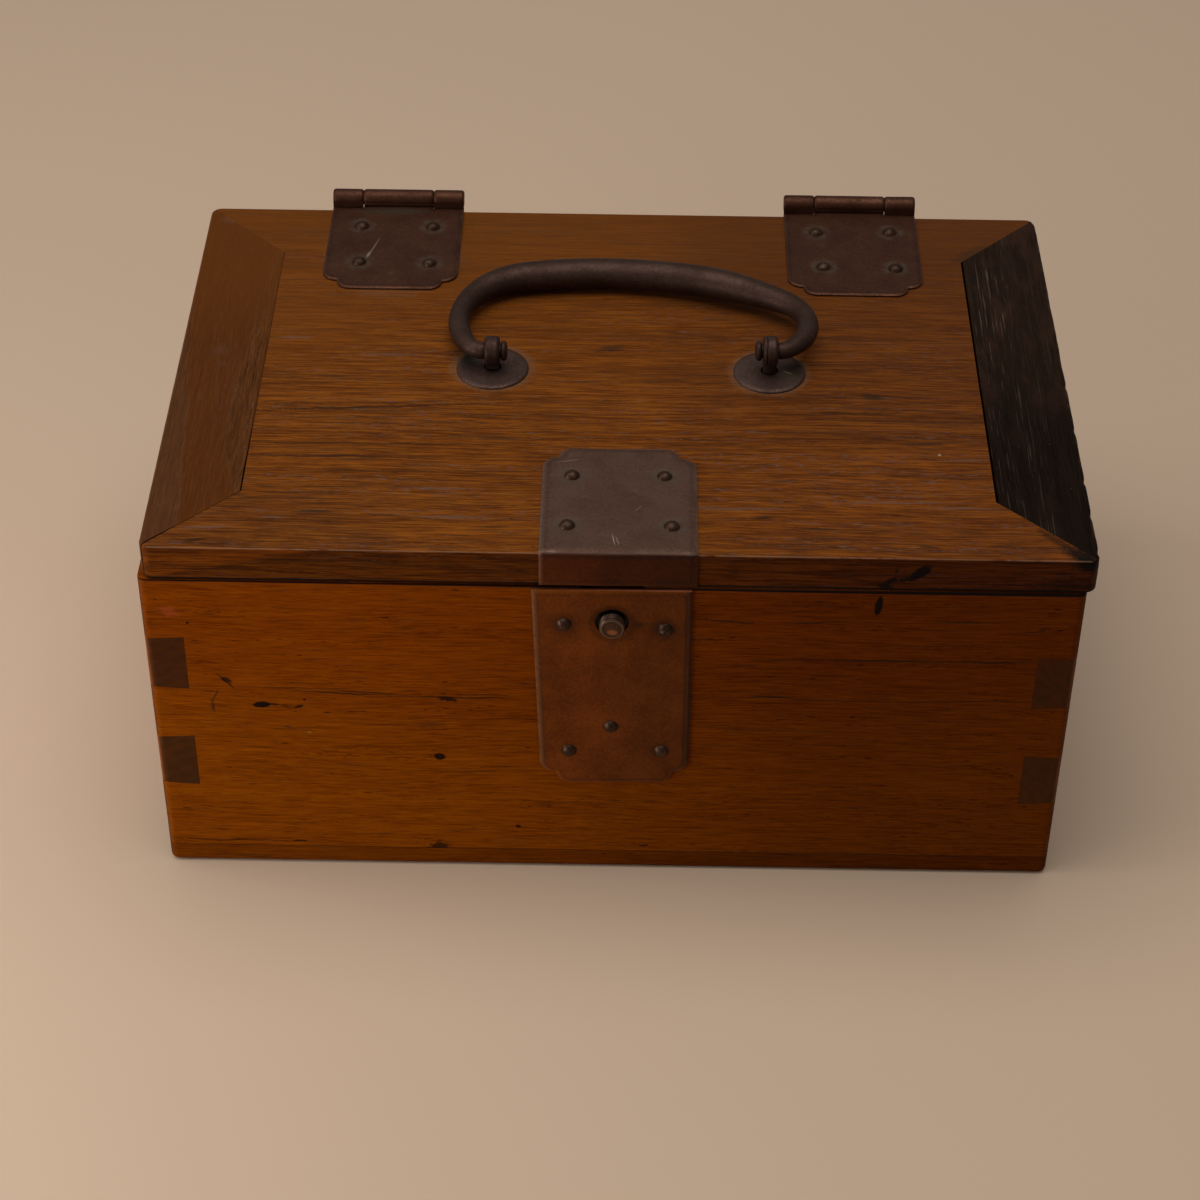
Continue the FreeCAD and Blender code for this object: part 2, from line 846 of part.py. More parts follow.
def bail_stations():
    """Centre line from the left elbow round to the right one: (x, y, heading, radius)."""
    x = -(eye_spacing / 2 + eye_strap_width / 2 + bail_start)
    y = 0.0
    heading = math.pi
    travelled = 0.0
    stations = [(x, y, heading, travelled)]
    for radius, turn, steps in bail_bends():
        step = math.radians(turn / steps)
        for _ in range(steps):
            across, along = arc_travel(radius, heading, step)
            x += across
            y += along
            heading -= step
            travelled += radius * step
            stations.append((x, y, heading, travelled))
    return [(px, py, angle, bail_radius(run / travelled)) for px, py, angle, run in stations]


def smooth_step(value, start, end):
    share = min(1.0, max(0.0, (value - start) / (end - start)))
    return share * share * (3 - 2 * share)


def bail_radius(progress):
    """The bar is thinnest at its ends and swells twice towards its crown."""
    from_end = 2 * min(progress, 1 - progress)
    side = bail_side_radius - bail_end_radius
    crown = bail_crown_radius - bail_side_radius
    return (
        bail_end_radius
        + side * smooth_step(from_end, 0.0, 0.16)
        + crown * smooth_step(from_end, 0.25, 0.7)
    )


def ring_wire(x, y, heading, radius):
    """A circle across the bail's centre line, always started at the same side."""
    along = vector(math.cos(heading), math.sin(heading), 0)
    across = Z_AXIS.cross(along)
    circle = Part.makeCircle(radius)
    turn = FreeCAD.Rotation(Z_AXIS, across * -1, along, "ZXY")
    circle.Placement = FreeCAD.Placement(vector(x, y, 0), turn)
    return Part.Wire([circle])


def bail_lean(stations):
    """How far the bail leans back from level, until it nearly rests on the lid."""
    far = [station for station in stations if station[1] > eye_outer_radius]
    drops = [
        (eye_rise + x * axis_slope - radius - bail_rest_gap) / y
        for x, y, _, radius in far
    ]
    return math.degrees(math.asin(min(drops)))


def handle_bail():
    stations = bail_stations()
    bar = Part.makeLoft([ring_wire(*station) for station in stations], True, False)
    elbow_x = eye_spacing / 2 + eye_strap_width / 2 + bail_start
    strap_outer = eye_spacing / 2 + eye_strap_width / 2 + bail_end_gap
    strap_inner = eye_spacing / 2 - eye_strap_width / 2 - bail_end_gap
    pieces = [bar]
    for side in (-1, 1):
        outward = X_AXIS * side
        stub = rod(bail_end_radius, outward * strap_outer, outward, elbow_x - strap_outer)
        pin = rod(bail_pin_radius, outward * strap_inner, outward, elbow_x - strap_inner)
        knob_start = outward * (strap_inner - bail_knob_length)
        knob = rod(bail_knob_radius, knob_start, outward, bail_knob_length)
        knob = knob.makeFillet(bail_knob_length / 3, edges_where(knob, lambda b: b.XLength < same_level))
        pieces += [stub, pin, knob]
    bail = clean_union(pieces)
    bail.rotate(ORIGIN, X_AXIS, -bail_lean(stations))
    bail.rotate(ORIGIN, Y_AXIS, -math.degrees(math.atan(axis_slope)))
    bail.translate(vector(handle_x, handle_y, eye_z))
    return bail


def write(name, shapes):
    """Write one node, as one solid or as a group of separate solids."""
    solids = [solid for shape in shapes for solid in shape.Solids]
    for solid in solids:
        if not solid.isValid():
            raise ValueError(name + " has an invalid solid")
    whole = solids[0] if len(solids) == 1 else Part.makeCompound(solids)
    whole.exportStep("parts/" + name + ".step")
    volume = sum(solid.Volume for solid in solids)
    print(name, len(solids), "solid(s)", round(volume, 1), "mm3")


def build():
    os.makedirs("parts", exist_ok=True)
    write("front_board", [front_board()])
    write("back_board", [back_board()])
    write("left_board", [peg_holes(side_board(-1))])
    write("right_board", [peg_holes(side_board(1))])
    write("bottom_board", [bottom_board()])
    write("bottom_pegs", bottom_pegs())
    write("lid_panel", [lid_panel()])
    write("lid_end_left", [lid_cap(-1)])
    write("lid_end_right", [lid_cap(1)])
    for side, hinge_x in hinge_places.items():
        write("lid_leaf_" + side, [lid_leaf(hinge_x)])
        write("case_leaf_" + side, [case_leaf(hinge_x)])
        write("hinge_pin_" + side, [hinge_pin(hinge_x)])
    write("lid_leaf_nails", nails_at(lid_leaf_nail_places(), Z_AXIS))
    write("case_leaf_nails", nails_at(case_leaf_nail_places(), Y_AXIS))
    write("lid_plate", [lid_plate()])
    write("lid_plate_nails", nails_at(lid_plate_nail_places(), Z_AXIS))
    write("catch_tongue", [catch_tongue()])
    write("lock_plate", [lock_plate()])
    write("lock_plate_nails", nails_at(lock_plate_nail_places(), Y_AXIS * -1))
    write("latch_spring", [latch_spring()])
    write("spring_rivet", [spring_rivet()])
    write("push_button", [push_button()])
    for side, eye_x in eye_places.items():
        write("washer_" + side, [washer(eye_x)])
        write("handle_eye_" + side, [handle_eye(eye_x, eye_levels[side])])
    write("handle_bail", [handle_bail()])


build()
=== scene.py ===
import math

import bmesh
import bpy
import numpy as np
from mathutils import Matrix, Vector, noise
from mathutils.geometry import delaunay_2d_cdt


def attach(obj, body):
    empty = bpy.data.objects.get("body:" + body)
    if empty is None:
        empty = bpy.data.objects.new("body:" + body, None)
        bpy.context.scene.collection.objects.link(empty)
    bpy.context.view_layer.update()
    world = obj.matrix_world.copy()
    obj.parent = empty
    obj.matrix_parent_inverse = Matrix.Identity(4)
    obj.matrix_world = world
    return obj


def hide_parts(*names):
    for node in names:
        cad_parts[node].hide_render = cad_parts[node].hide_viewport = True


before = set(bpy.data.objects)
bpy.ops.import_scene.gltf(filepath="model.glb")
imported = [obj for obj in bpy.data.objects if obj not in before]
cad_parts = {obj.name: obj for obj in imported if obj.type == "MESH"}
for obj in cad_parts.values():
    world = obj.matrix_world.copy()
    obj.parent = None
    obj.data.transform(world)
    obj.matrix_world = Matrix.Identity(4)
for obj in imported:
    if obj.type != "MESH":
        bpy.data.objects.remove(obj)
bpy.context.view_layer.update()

# Lengths are in millimetres up to the point where a mesh is made
MM = 0.001

# Camera at the photograph's viewing angle
CAMERA_PLACE = (0.0021, -0.6314, 0.5594)
CAMERA_TURN = (49.99, -0.43, 0.88)
CAMERA_LENS = 85.3
SENSOR_WIDTH = 36.0

FLOOR_COLOUR = (0.50, 0.365, 0.262, 1)
WORLD_COLOUR = (1.0, 0.98, 0.96, 1)
WORLD_STRENGTH = 0.2

# Places of the solids
CASE_LOW = (-120.3, -79.25, 0.0)
CASE_HIGH = (120.3, 79.25, 100.4)
LID_LOW = (-118.975, -79.25, 100.7)
LID_HIGH = (121.625, 79.05, 110.95)
LID_FLARE = 0.75
CAP_WIDTH = 23.5
CASE_FRONT = CASE_LOW[1]
CASE_BACK = CASE_HIGH[1]
CASE_TOP = CASE_HIGH[2]
LID_TOP = LID_HIGH[2]
LID_BACK = LID_HIGH[1]
LID_MIDDLE = 1.325
HINGE_X = {"left": -64.4, "right": 67.4}
HINGE_Y = 81.75
HINGE_Z = 113.45
BUTTON_X = 0.2


def colour(red, green, blue):
    return (red, green, blue, 1.0)


WHITE = colour(1.0, 1.0, 1.0)


# Materials
class Paint:
    """One procedural material; positions in it are in millimetres."""

    def __init__(self, name, roughness, metallic=0.0, specular=0.5):
        self.material = bpy.data.materials.new(name)
        self.material.use_nodes = True
        self.tree = self.material.node_tree
        self.shader = self.tree.nodes["Principled BSDF"]
        self.shader.inputs["Metallic"].default_value = metallic
        self.shader.inputs["Specular IOR Level"].default_value = specular
        self.shader.inputs["Roughness"].default_value = roughness
        coords = self.tree.nodes.new("ShaderNodeTexCoord")
        scaled = self.add("VectorMath", {0: coords.outputs["Object"], 3: 1 / MM}, operation="SCALE")
        self.place = scaled
        self.facing = coords.outputs["Normal"]

    def feed(self, socket, value):
        if isinstance(value, bpy.types.NodeSocket):
            self.tree.links.new(value, socket)
        else:
            socket.default_value = value

    def add(self, kind, inputs, output=0, **settings):
        node = self.tree.nodes.new("ShaderNode" + kind)
        for key, value in settings.items():
            setattr(node, key, value)
        for key, value in inputs.items():
            self.feed(node.inputs[key], value)
        return node.outputs[output]

    def math(self, operation, a, b=0.0, clamp=False):
        return self.add("Math", {0: a, 1: b}, operation=operation, use_clamp=clamp)

    def vector(self, operation, a, b=(0, 0, 0), output=0):
        return self.add("VectorMath", {0: a, 1: b}, output, operation=operation)

    def split(self, vector):
        node = self.tree.nodes.new("ShaderNodeSeparateXYZ")
        self.feed(node.inputs[0], vector)
        return node.outputs[0], node.outputs[1], node.outputs[2]

    def join(self, x, y, z):
        return self.add("CombineXYZ", {0: x, 1: y, 2: z})

    def stretched(self, vector, scale, move=(0, 0, 0), turn=(0, 0, 0)):
        return self.add("Mapping", {"Vector": vector, "Scale": scale, "Location": move, "Rotation": turn})

    def noise(self, vector, scale=1.0, detail=2.0, rough=0.5, twist=0.0):
        return self.add(
            "TexNoise",
            {"Vector": vector, "Scale": scale, "Detail": detail, "Roughness": rough, "Distortion": twist},
        )

    def fade(self, value, start, end, low=0.0, high=1.0):
        """Smoothly from low at start to high at end."""
        if start > end:
            start, end, low, high = end, start, high, low
        return self.add(
            "MapRange", {0: value, 1: start, 2: end, 3: low, 4: high}, interpolation_type="SMOOTHSTEP"
        )

    def mix(self, share, a, b, mode="MIX"):
        return self.add("Mix", {0: share, 6: a, 7: b}, 2, data_type="RGBA", blend_type=mode)

    def ramp(self, value, stops):
        node = self.tree.nodes.new("ShaderNodeValToRGB")
        self.feed(node.inputs[0], value)
        band = node.color_ramp
        while len(band.elements) < len(stops):
            band.elements.new(0.5)
        for element, (place, shade) in zip(band.elements, stops):
            element.position = place
            element.color = shade
        return node.outputs[0]

    def local(self, place, centre, reach, turn):
        """Coordinates from a centre along turned axes, in reaches."""
        angles = [math.radians(a) for a in turn]
        inputs = {"Vector": place, "Location": centre, "Rotation": angles, "Scale": reach}
        return self.add("Mapping", inputs, vector_type="TEXTURE")

    def spot(self, place, centre, reach, turn=(0, 0, 0)):
        """Distance from a centre, 1 at the rim of an ellipsoid."""
        return self.add("VectorMath", {0: self.local(place, centre, reach, turn)}, 1, operation="LENGTH")

    def edge_distance(self, low, high, lean=0.0):
        """Distance from the nearest edge of a box, whose right end may lean outwards to the front."""
        x, y, z = self.split(self.place)
        forward = self.fade(y, high[1], low[1], 0.0, lean)
        x = self.math("SUBTRACT", x, self.math("MULTIPLY", forward, self.fade(x, 0.0, 60.0)))
        axes = zip((x, y, z), low, high)
        gaps = [
            self.math("MINIMUM", self.math("SUBTRACT", c, a), self.math("SUBTRACT", b, c)) for c, a, b in axes
        ]
        total = self.math("ADD", self.math("ADD", gaps[0], gaps[1]), gaps[2])
        least = self.math("MINIMUM", self.math("MINIMUM", gaps[0], gaps[1]), gaps[2])
        most = self.math("MAXIMUM", self.math("MAXIMUM", gaps[0], gaps[1]), gaps[2])
        return self.math("SUBTRACT", self.math("SUBTRACT", total, least), most)

    def bump(self, height, depth_mm):
        normal = self.add("Bump", {"Height": height, "Distance": depth_mm * MM, "Strength": 1.0})
        self.feed(self.shader.inputs["Normal"], normal)

    def finish(self, base, rough=None):
        self.feed(self.shader.inputs["Base Color"], base)
        if rough is not None:
            self.feed(self.shader.inputs["Roughness"], rough)
        return self.material


ORDERS = {"x": (0, 1, 2), "y": (1, 0, 2)}
GREY_LINE = colour(0.034, 0.019, 0.010)
PALE_PORE = colour(0.118, 0.070, 0.050)


def wood(name, along, tones, box, specular=0.12, look=None, marks=(), tint=None, worn=None):
    """Straight-grained wood: tones are dark, middle and light, look sets how strong each figure is."""
    strength = {
        "hair": 0.55, "streak": 0.5, "broad": 0.4, "lines": 0.5, "flecks": 0.4, "pores": 0.4,
        "seed": 0.0, "end": 1.0, "bands": 0.0, "drift": 4.0, "coarse": 1.0, "pale": PALE_PORE, "grey": GREY_LINE,
    }
    strength.update(look or {})
    paint = Paint(name, 0.5, specular=specular)
    paint.shader.inputs["Specular Tint"].default_value = colour(1.0, 0.62, 0.30)
    parts = paint.split(paint.place)
    order = ORDERS[along]
    ahead, side, up = (parts[i] for i in order)
    seed = strength["seed"]
    drift = paint.noise(paint.join(paint.math("ADD", ahead, seed * 37.0), side, up), 0.011, 2, 0.5)
    drift = paint.math("MULTIPLY", paint.math("SUBTRACT", drift, 0.5), strength["drift"])
    flow = paint.join(
        paint.math("ADD", ahead, seed * 311.0), paint.math("ADD", side, drift), paint.math("ADD", up, drift)
    )

    def grain(length, width, detail=2.0, rough=0.5, offset=0.0):
        scale = (1 / length, 1 / width, 1 / width)
        return paint.noise(paint.stretched(flow, scale, (offset, offset * 1.7, offset * 0.6)), 1.0, detail, rough)

    def centred(value, weight):
        return paint.math("MULTIPLY", paint.math("SUBTRACT", value, 0.5), weight)

    def product(*values):
        total = values[0]
        for value in values[1:]:
            total = paint.math("MULTIPLY", total, value)
        return total

    hair = grain(6.0 * strength["coarse"], 0.28 * strength["coarse"], 3, 0.75)
    streak = grain(34.0, 0.58, 3, 0.65, 7.0)
    broad = grain(95.0, 4.6, 3, 0.6, 13.0)
    total = paint.math("ADD", centred(hair, strength["hair"]), 0.5)
    total = paint.math("ADD", total, centred(streak, strength["streak"]))
    total = paint.math("ADD", total, centred(broad, strength["broad"]))
    dark, middle, light = tones
    base = paint.ramp(total, [(0.33, dark), (0.5, middle), (0.67, light)])
    deep = colour(*(c * 0.3 for c in dark[:3]))
    # Long thin dark lines that come and go
    field = grain(34.0, 0.85, 1, 0.4, 23.0)
    near_line = paint.math("ABSOLUTE", paint.math("SUBTRACT", field, 0.5))
    line = paint.fade(near_line, 0.034, 0.008)
    where = paint.fade(grain(20.0, 2.4, 3, 0.6, 31.0), 0.54, 0.64)
    line = product(line, where, strength["lines"])
    base = paint.mix(line, base, strength["grey"])
    # Dark bands of fine lines where a growth ring ends
    if strength["bands"]:
        ring = paint.fade(grain(80.0, 2.6, 2, 0.55, 43.0), 0.53, 0.62)
        fine = paint.fade(grain(8.0, 0.26, 2, 0.65, 41.0), 0.48, 0.60)
        base = paint.mix(product(ring, fine, strength["bands"]), base, strength["grey"])
    # Short pores, some of them filled with pale dust and some of them dark
    rows = paint.fade(grain(60.0, 2.4, 2, 0.5, 61.0), 0.5, 0.62)
    pores = product(paint.fade(grain(3.0, 0.42, 2, 0.6, 57.0), 0.57, 0.65), rows)
    base = paint.mix(paint.math("MULTIPLY", pores, strength["pores"]), base, strength["pale"])
    rows = paint.fade(grain(50.0, 1.9, 2, 0.5, 77.0), 0.52, 0.62)
    flecks = product(paint.fade(grain(3.0, 0.36, 1, 0.5, 71.0), 0.62, 0.69), rows, strength["flecks"])
    base = paint.mix(flecks, base, deep)
    # End grain on the faces across the grain
    turned = paint.split(paint.facing)
    across = paint.fade(paint.math("ABSOLUTE", turned[order[0]]), 0.62, 0.9)
    rings = paint.vector("LENGTH", paint.join(0.0, paint.math("ADD", side, 61.0), paint.math("ADD", up, 83.0)), output=1)
    uneven = centred(paint.noise(paint.place, 0.12, 3, 0.55), 9.0)
    wave = paint.math("SINE", paint.math("MULTIPLY", paint.math("ADD", rings, uneven), 1.9))
    speckle = paint.noise(paint.place, 2.6, 2, 0.6)
    cloud = paint.noise(paint.place, 0.3, 2, 0.5)
    cut = paint.math("ADD", paint.math("MULTIPLY", wave, 0.07), paint.math("MULTIPLY", speckle, 0.5))
    cut = paint.math("ADD", cut, paint.math("MULTIPLY", cloud, 0.5))
    end_tones = [colour(*(c * k for c in middle[:3])) for k in (0.22, 0.34, 0.46)]
    cut_colour = paint.ramp(cut, [(0.3, end_tones[0]), (0.5, end_tones[1]), (0.7, end_tones[2])])
    cut_colour = paint.mix(0.45, cut_colour, colour(0.034, 0.017, 0.008))
    base = paint.mix(paint.math("MULTIPLY", across, strength["end"], True), base, cut_colour)
    if tint:
        base = tint(paint, base, across)
    if marks:
        wiggle = paint.add("TexNoise", {"Vector": paint.place, "Scale": 0.11, "Detail": 3.0}, 1)
        wiggle = paint.vector("MULTIPLY", paint.vector("SUBTRACT", wiggle, (0.5, 0.5, 0.5)), (1.6, 1.6, 1.6))
        shaken = paint.vector("ADD", paint.place, wiggle)
        rough_edge = paint.math("SUBTRACT", paint.noise(paint.place, 0.9, 3, 0.65), 0.5)
    for centre, reach, turn, shade, amount, soft, ragged in marks:
        away = paint.spot(shaken, centre, reach, turn)
        if ragged:
            away = paint.math("ADD", away, paint.math("MULTIPLY", rough_edge, ragged * 1.6))
        base = paint.mix(paint.fade(away, 1.0 + soft, 1.0 - soft, 0.0, amount), base, shade)
    height = paint.math("ADD", paint.math("MULTIPLY", hair, 0.6), paint.math("MULTIPLY", streak, 0.6))
    height = paint.math("SUBTRACT", height, paint.math("MULTIPLY", line, 0.5))
    height = paint.math("SUBTRACT", height, paint.math("MULTIPLY", pores, 0.3))
    if worn:
        base = worn(paint, base, box)
    paint.bump(height, 0.07)
    return paint.finish(base, paint.fade(hair, 0.2, 0.8, 0.40, 0.56))


def times(shade, *factors):
    factors = factors * 3 if len(factors) == 1 else factors
    return colour(*(min(1.0, c * k) for c, k in zip(shade[:3], factors)))


def metal(name, tones, rough=(0.42, 0.6), metallic=0.7, seed=0.0, scratches=0.5, extra=None, marks=(), halo=None, edge=0.8):
    """Patinated metal with blotches, fine speckle and short scratches."""
    dark, middle, light = tones
    paint = Paint(name, 0.45, metallic=metallic, specular=0.3)
    place = paint.vector("ADD", paint.place, (seed * 91.0, seed * 47.0, seed * 23.0))
    cloud = paint.noise(place, 0.11, 4, 0.55)
    grit = paint.noise(place, 1.1, 3, 0.7)
    speck = paint.noise(place, 3.6, 2, 0.6)
    tone = paint.math("ADD", paint.math("MULTIPLY", cloud, 0.36), paint.math("MULTIPLY", grit, 0.30))
    tone = paint.math("ADD", tone, paint.math("MULTIPLY", speck, 0.34))
    base = paint.ramp(tone, [(0.40, dark), (0.5, middle), (0.60, light)])
    x, y, z = paint.split(paint.place)
    flat = paint.join(x, paint.math("ADD", y, z), seed * 7.0)
    scratch = 0.0
    for turn, length, width in ((17, 5.0, 0.17), (63, 3.5, 0.15), (108, 4.0, 0.16), (151, 6.0, 0.15)):
        drawn = paint.local(flat, (turn, 0, 0), (length, width, 1.0), (0, 0, turn))
        one = paint.fade(paint.noise(drawn, 1.0, 1, 0.5, 0.3), 0.70, 0.77)
        scratch = paint.math("MAXIMUM", scratch, one)
    patches = paint.fade(paint.noise(place, 0.08, 2, 0.5), 0.42, 0.6)
    scratch = paint.math("MULTIPLY", paint.math("MULTIPLY", scratch, patches), scratches)
    base = paint.mix(scratch, base, times(light, 1.9, 2.0, 2.2))
    rim = paint.add("Attribute", {}, 2, attribute_name="rim")
    border = paint.add("Attribute", {}, 2, attribute_name="border")
    nail_stain_and_shade = paint.add("Attribute", {}, 2, attribute_name="nail_stain_and_shade")
    patchy = paint.fade(paint.noise(place, 0.5, 2, 0.6), 0.25, 0.55)
    if extra:
        base = extra(paint, base)
    base = paint.mix(paint.math("MULTIPLY", border, 0.75), base, paint.mix(1.0, base, times(WHITE, 0.45), "MULTIPLY"))
    # Paler rims: partly rubbed wear, partly a painted highlight on the bevels
    rubbed_rim_and_sheen = paint.math("MULTIPLY", paint.math("MULTIPLY", rim, patchy), edge)
    base = paint.mix(rubbed_rim_and_sheen, base, paint.mix(1.0, base, colour(1.7, 1.9, 2.2), "MULTIPLY"))
    if halo:
        ring = paint.math("MULTIPLY", paint.fade(nail_stain_and_shade, 0.04, 0.35), paint.fade(nail_stain_and_shade, 0.95, 0.6))
        broken = paint.fade(paint.noise(place, 0.4, 3, 0.6), 0.36, 0.62, 0.1, 0.6)
        base = paint.mix(paint.math("MULTIPLY", ring, broken), base, halo)
    # Dark ring at each nail's foot: partly dirt, partly painted shade under the head
    base = paint.mix(paint.fade(nail_stain_and_shade, 0.75, 1.0, 0.0, 0.5), base, times(dark, 0.35))
    for centre, reach, turn, shade, amount, soft in marks:
        away = paint.spot(paint.place, centre, reach, turn)
        base = paint.mix(paint.fade(away, 1.0 + soft, 1.0 - soft, 0.0, amount), base, shade)
    height = paint.math("ADD", paint.math("MULTIPLY", grit, 0.5), paint.math("MULTIPLY", cloud, 0.9))
    height = paint.math("SUBTRACT", height, paint.math("MULTIPLY", scratch, 0.35))
    paint.bump(height, 0.08)
    return paint.finish(base, paint.fade(tone, 0.35, 0.65, rough[1], rough[0]))


# Mesh building
def add_object(name, points, faces, material, body, replaced=(), sharp=38, fields=None):
    mesh = bpy.data.meshes.new(name)
    mesh.from_pydata([tuple(c * MM for c in point) for point in points], [], faces)
    for field, values in (fields or {}).items():
        mesh.attributes.new(field, "FLOAT", "POINT").data.foreach_set("value", values)
    shape = bmesh.new()
    shape.from_mesh(mesh)
    bmesh.ops.remove_doubles(shape, verts=shape.verts, dist=2e-6)
    bmesh.ops.dissolve_degenerate(shape, edges=shape.edges, dist=1e-6)
    bmesh.ops.recalc_face_normals(shape, faces=shape.faces)
    shape.to_mesh(mesh)
    shape.free()
    return place_object(name, mesh, material, body, replaced, sharp)


def place_object(name, mesh, material, body, replaced=(), sharp=38):
    mesh.materials.clear()
    mesh.materials.append(material)
    mesh.polygons.foreach_set("use_smooth", [True] * len(mesh.polygons))
    mesh.set_sharp_from_angle(angle=math.radians(sharp))
    obj = bpy.data.objects.new(name, mesh)
    bpy.context.scene.collection.objects.link(obj)
    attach(obj, body)
    if replaced:
        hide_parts(*replaced)
    return obj


def joined(pieces):
    """Several (points, faces) lists as one."""
    points, faces = [], []
    for some_points, some_faces in pieces:
        start = len(points)
        points += list(some_points)
        faces += [tuple(i + start for i in face) for face in some_faces]
    return points, faces


def moved(piece, mapping):
    points, faces = piece
    return [tuple(mapping(*point)) for point in points], faces


def rings_to_faces(count, sides, closed):
    faces = []
    for ring in range(count if closed else count - 1):
        after = (ring + 1) % count
        for side in range(sides):
            turn = (side + 1) % sides
            faces.append((ring * sides + side, ring * sides + turn, after * sides + turn, after * sides + side))
    if not closed:
        faces.append(tuple(range(sides))[::-1])
        faces.append(tuple((count - 1) * sides + side for side in range(sides)))
    return faces


def revolved(profile, sides, closed=False, uneven=None):
    """Rings about the x axis from (along, radius) pairs; uneven changes a radius at (along, angle)."""
    points = []
    for along, radius in profile:
        for side in range(sides):
            angle = 2 * math.pi * side / sides
            here = radius * (uneven(along, angle, radius) if uneven else 1.0)
            points.append((along, here * math.cos(angle), here * math.sin(angle)))
    return points, rings_to_faces(len(profile), sides, closed)


def tube(path, radii, sides, uneven=None):
    """A round bar along a path of vectors."""
    points = []
    across = Vector((0, 0, 1))
    for index, (here, radius) in enumerate(zip(path, radii)):
        ahead = (path[min(index + 1, len(path) - 1)] - path[max(index - 1, 0)]).normalized()
        across = (across - ahead * across.dot(ahead)).normalized()
        other = ahead.cross(across)
        for side in range(sides):
            angle = 2 * math.pi * side / sides
            size = radius * (uneven(here, angle) if uneven else 1.0)
            points.append(tuple(here + (across * math.cos(angle) + other * math.sin(angle)) * size))
    return points, rings_to_faces(len(path), sides, False)


def arc_points(centre_x, centre_y, radius, start, end, steps):
    angles = [math.radians(start + (end - start) * i / steps) for i in range(steps + 1)]
    return [(centre_x + radius * math.cos(a), centre_y + radius * math.sin(a)) for a in angles]


def divided(loop, step):
    """A closed loop with its long edges divided and its repeated points dropped."""
    points = []
    for (x0, y0), (x1, y1) in zip(loop, loop[1:] + loop[:1]):
        length = math.hypot(x1 - x0, y1 - y0)
        if length < 1e-4:
            continue
        parts = max(1, round(length / step))
        points += [(x0 + (x1 - x0) * i / parts, y0 + (y1 - y0) * i / parts) for i in range(parts)]
    return points


OUTER_LOBE = 4.3
INNER_LOBE = 3.9


def lobed_outline(half, length, near_end):
    """A plate's outline from above: near_end runs left to right, the lobes are at the far end."""
    cusp = half - OUTER_LOBE
    flat = cusp - INNER_LOBE
    lobe = length - INNER_LOBE
    side = lobe - OUTER_LOBE
    loop = list(near_end)
    loop += arc_points(cusp, side, OUTER_LOBE, 0, 90, 10)
    loop += arc_points(flat, lobe, INNER_LOBE, 0, 90, 10)
    loop += arc_points(-flat, lobe, INNER_LOBE, 90, 180, 10)
    loop += arc_points(-cusp, side, OUTER_LOBE, 90, 180, 10)
    return divided(loop, 1.1)


def loop_distance(points, loop):
    """Distance of each point from a closed loop of straight edges."""
    p = np.array(points, float)[:, None, :]
    a = np.array(loop, float)[None, :, :]
    b = np.roll(a, -1, axis=1)
    edge = b - a
    share = np.clip(((p - a) * edge).sum(2) / np.maximum((edge**2).sum(2), 1e-12), 0, 1)
    return np.sqrt((((a + share[..., None] * edge) - p) ** 2).sum(2)).min(1)


def within(points, loop):
    """Which points are inside a closed loop."""
    p = np.array(points, float)
    a = np.array(loop, float)
    b = np.roll(a, -1, axis=0)
    x, y = p[:, 0:1], p[:, 1:2]
    crosses = (a[None, :, 1] > y) != (b[None, :, 1] > y)
    rise = b[:, 1] - a[:, 1]
    rise = np.where(np.abs(rise) < 1e-12, 1e-12, rise)
    at = a[None, :, 0] + (y - a[None, :, 1]) * ((b - a)[None, :, 0] / rise[None, :])
    return (crosses & (x < at)).sum(1) % 2 == 1


def inset(loop, by):
    """The loop's points moved inwards along the corners' directions."""
    points = np.array(loop, float)
    ahead = np.roll(points, -1, axis=0) - np.roll(points, 1, axis=0)
    ahead /= np.maximum(np.linalg.norm(ahead, axis=1, keepdims=True), 1e-9)
    return points + np.stack([-ahead[:, 1], ahead[:, 0]], 1) * by


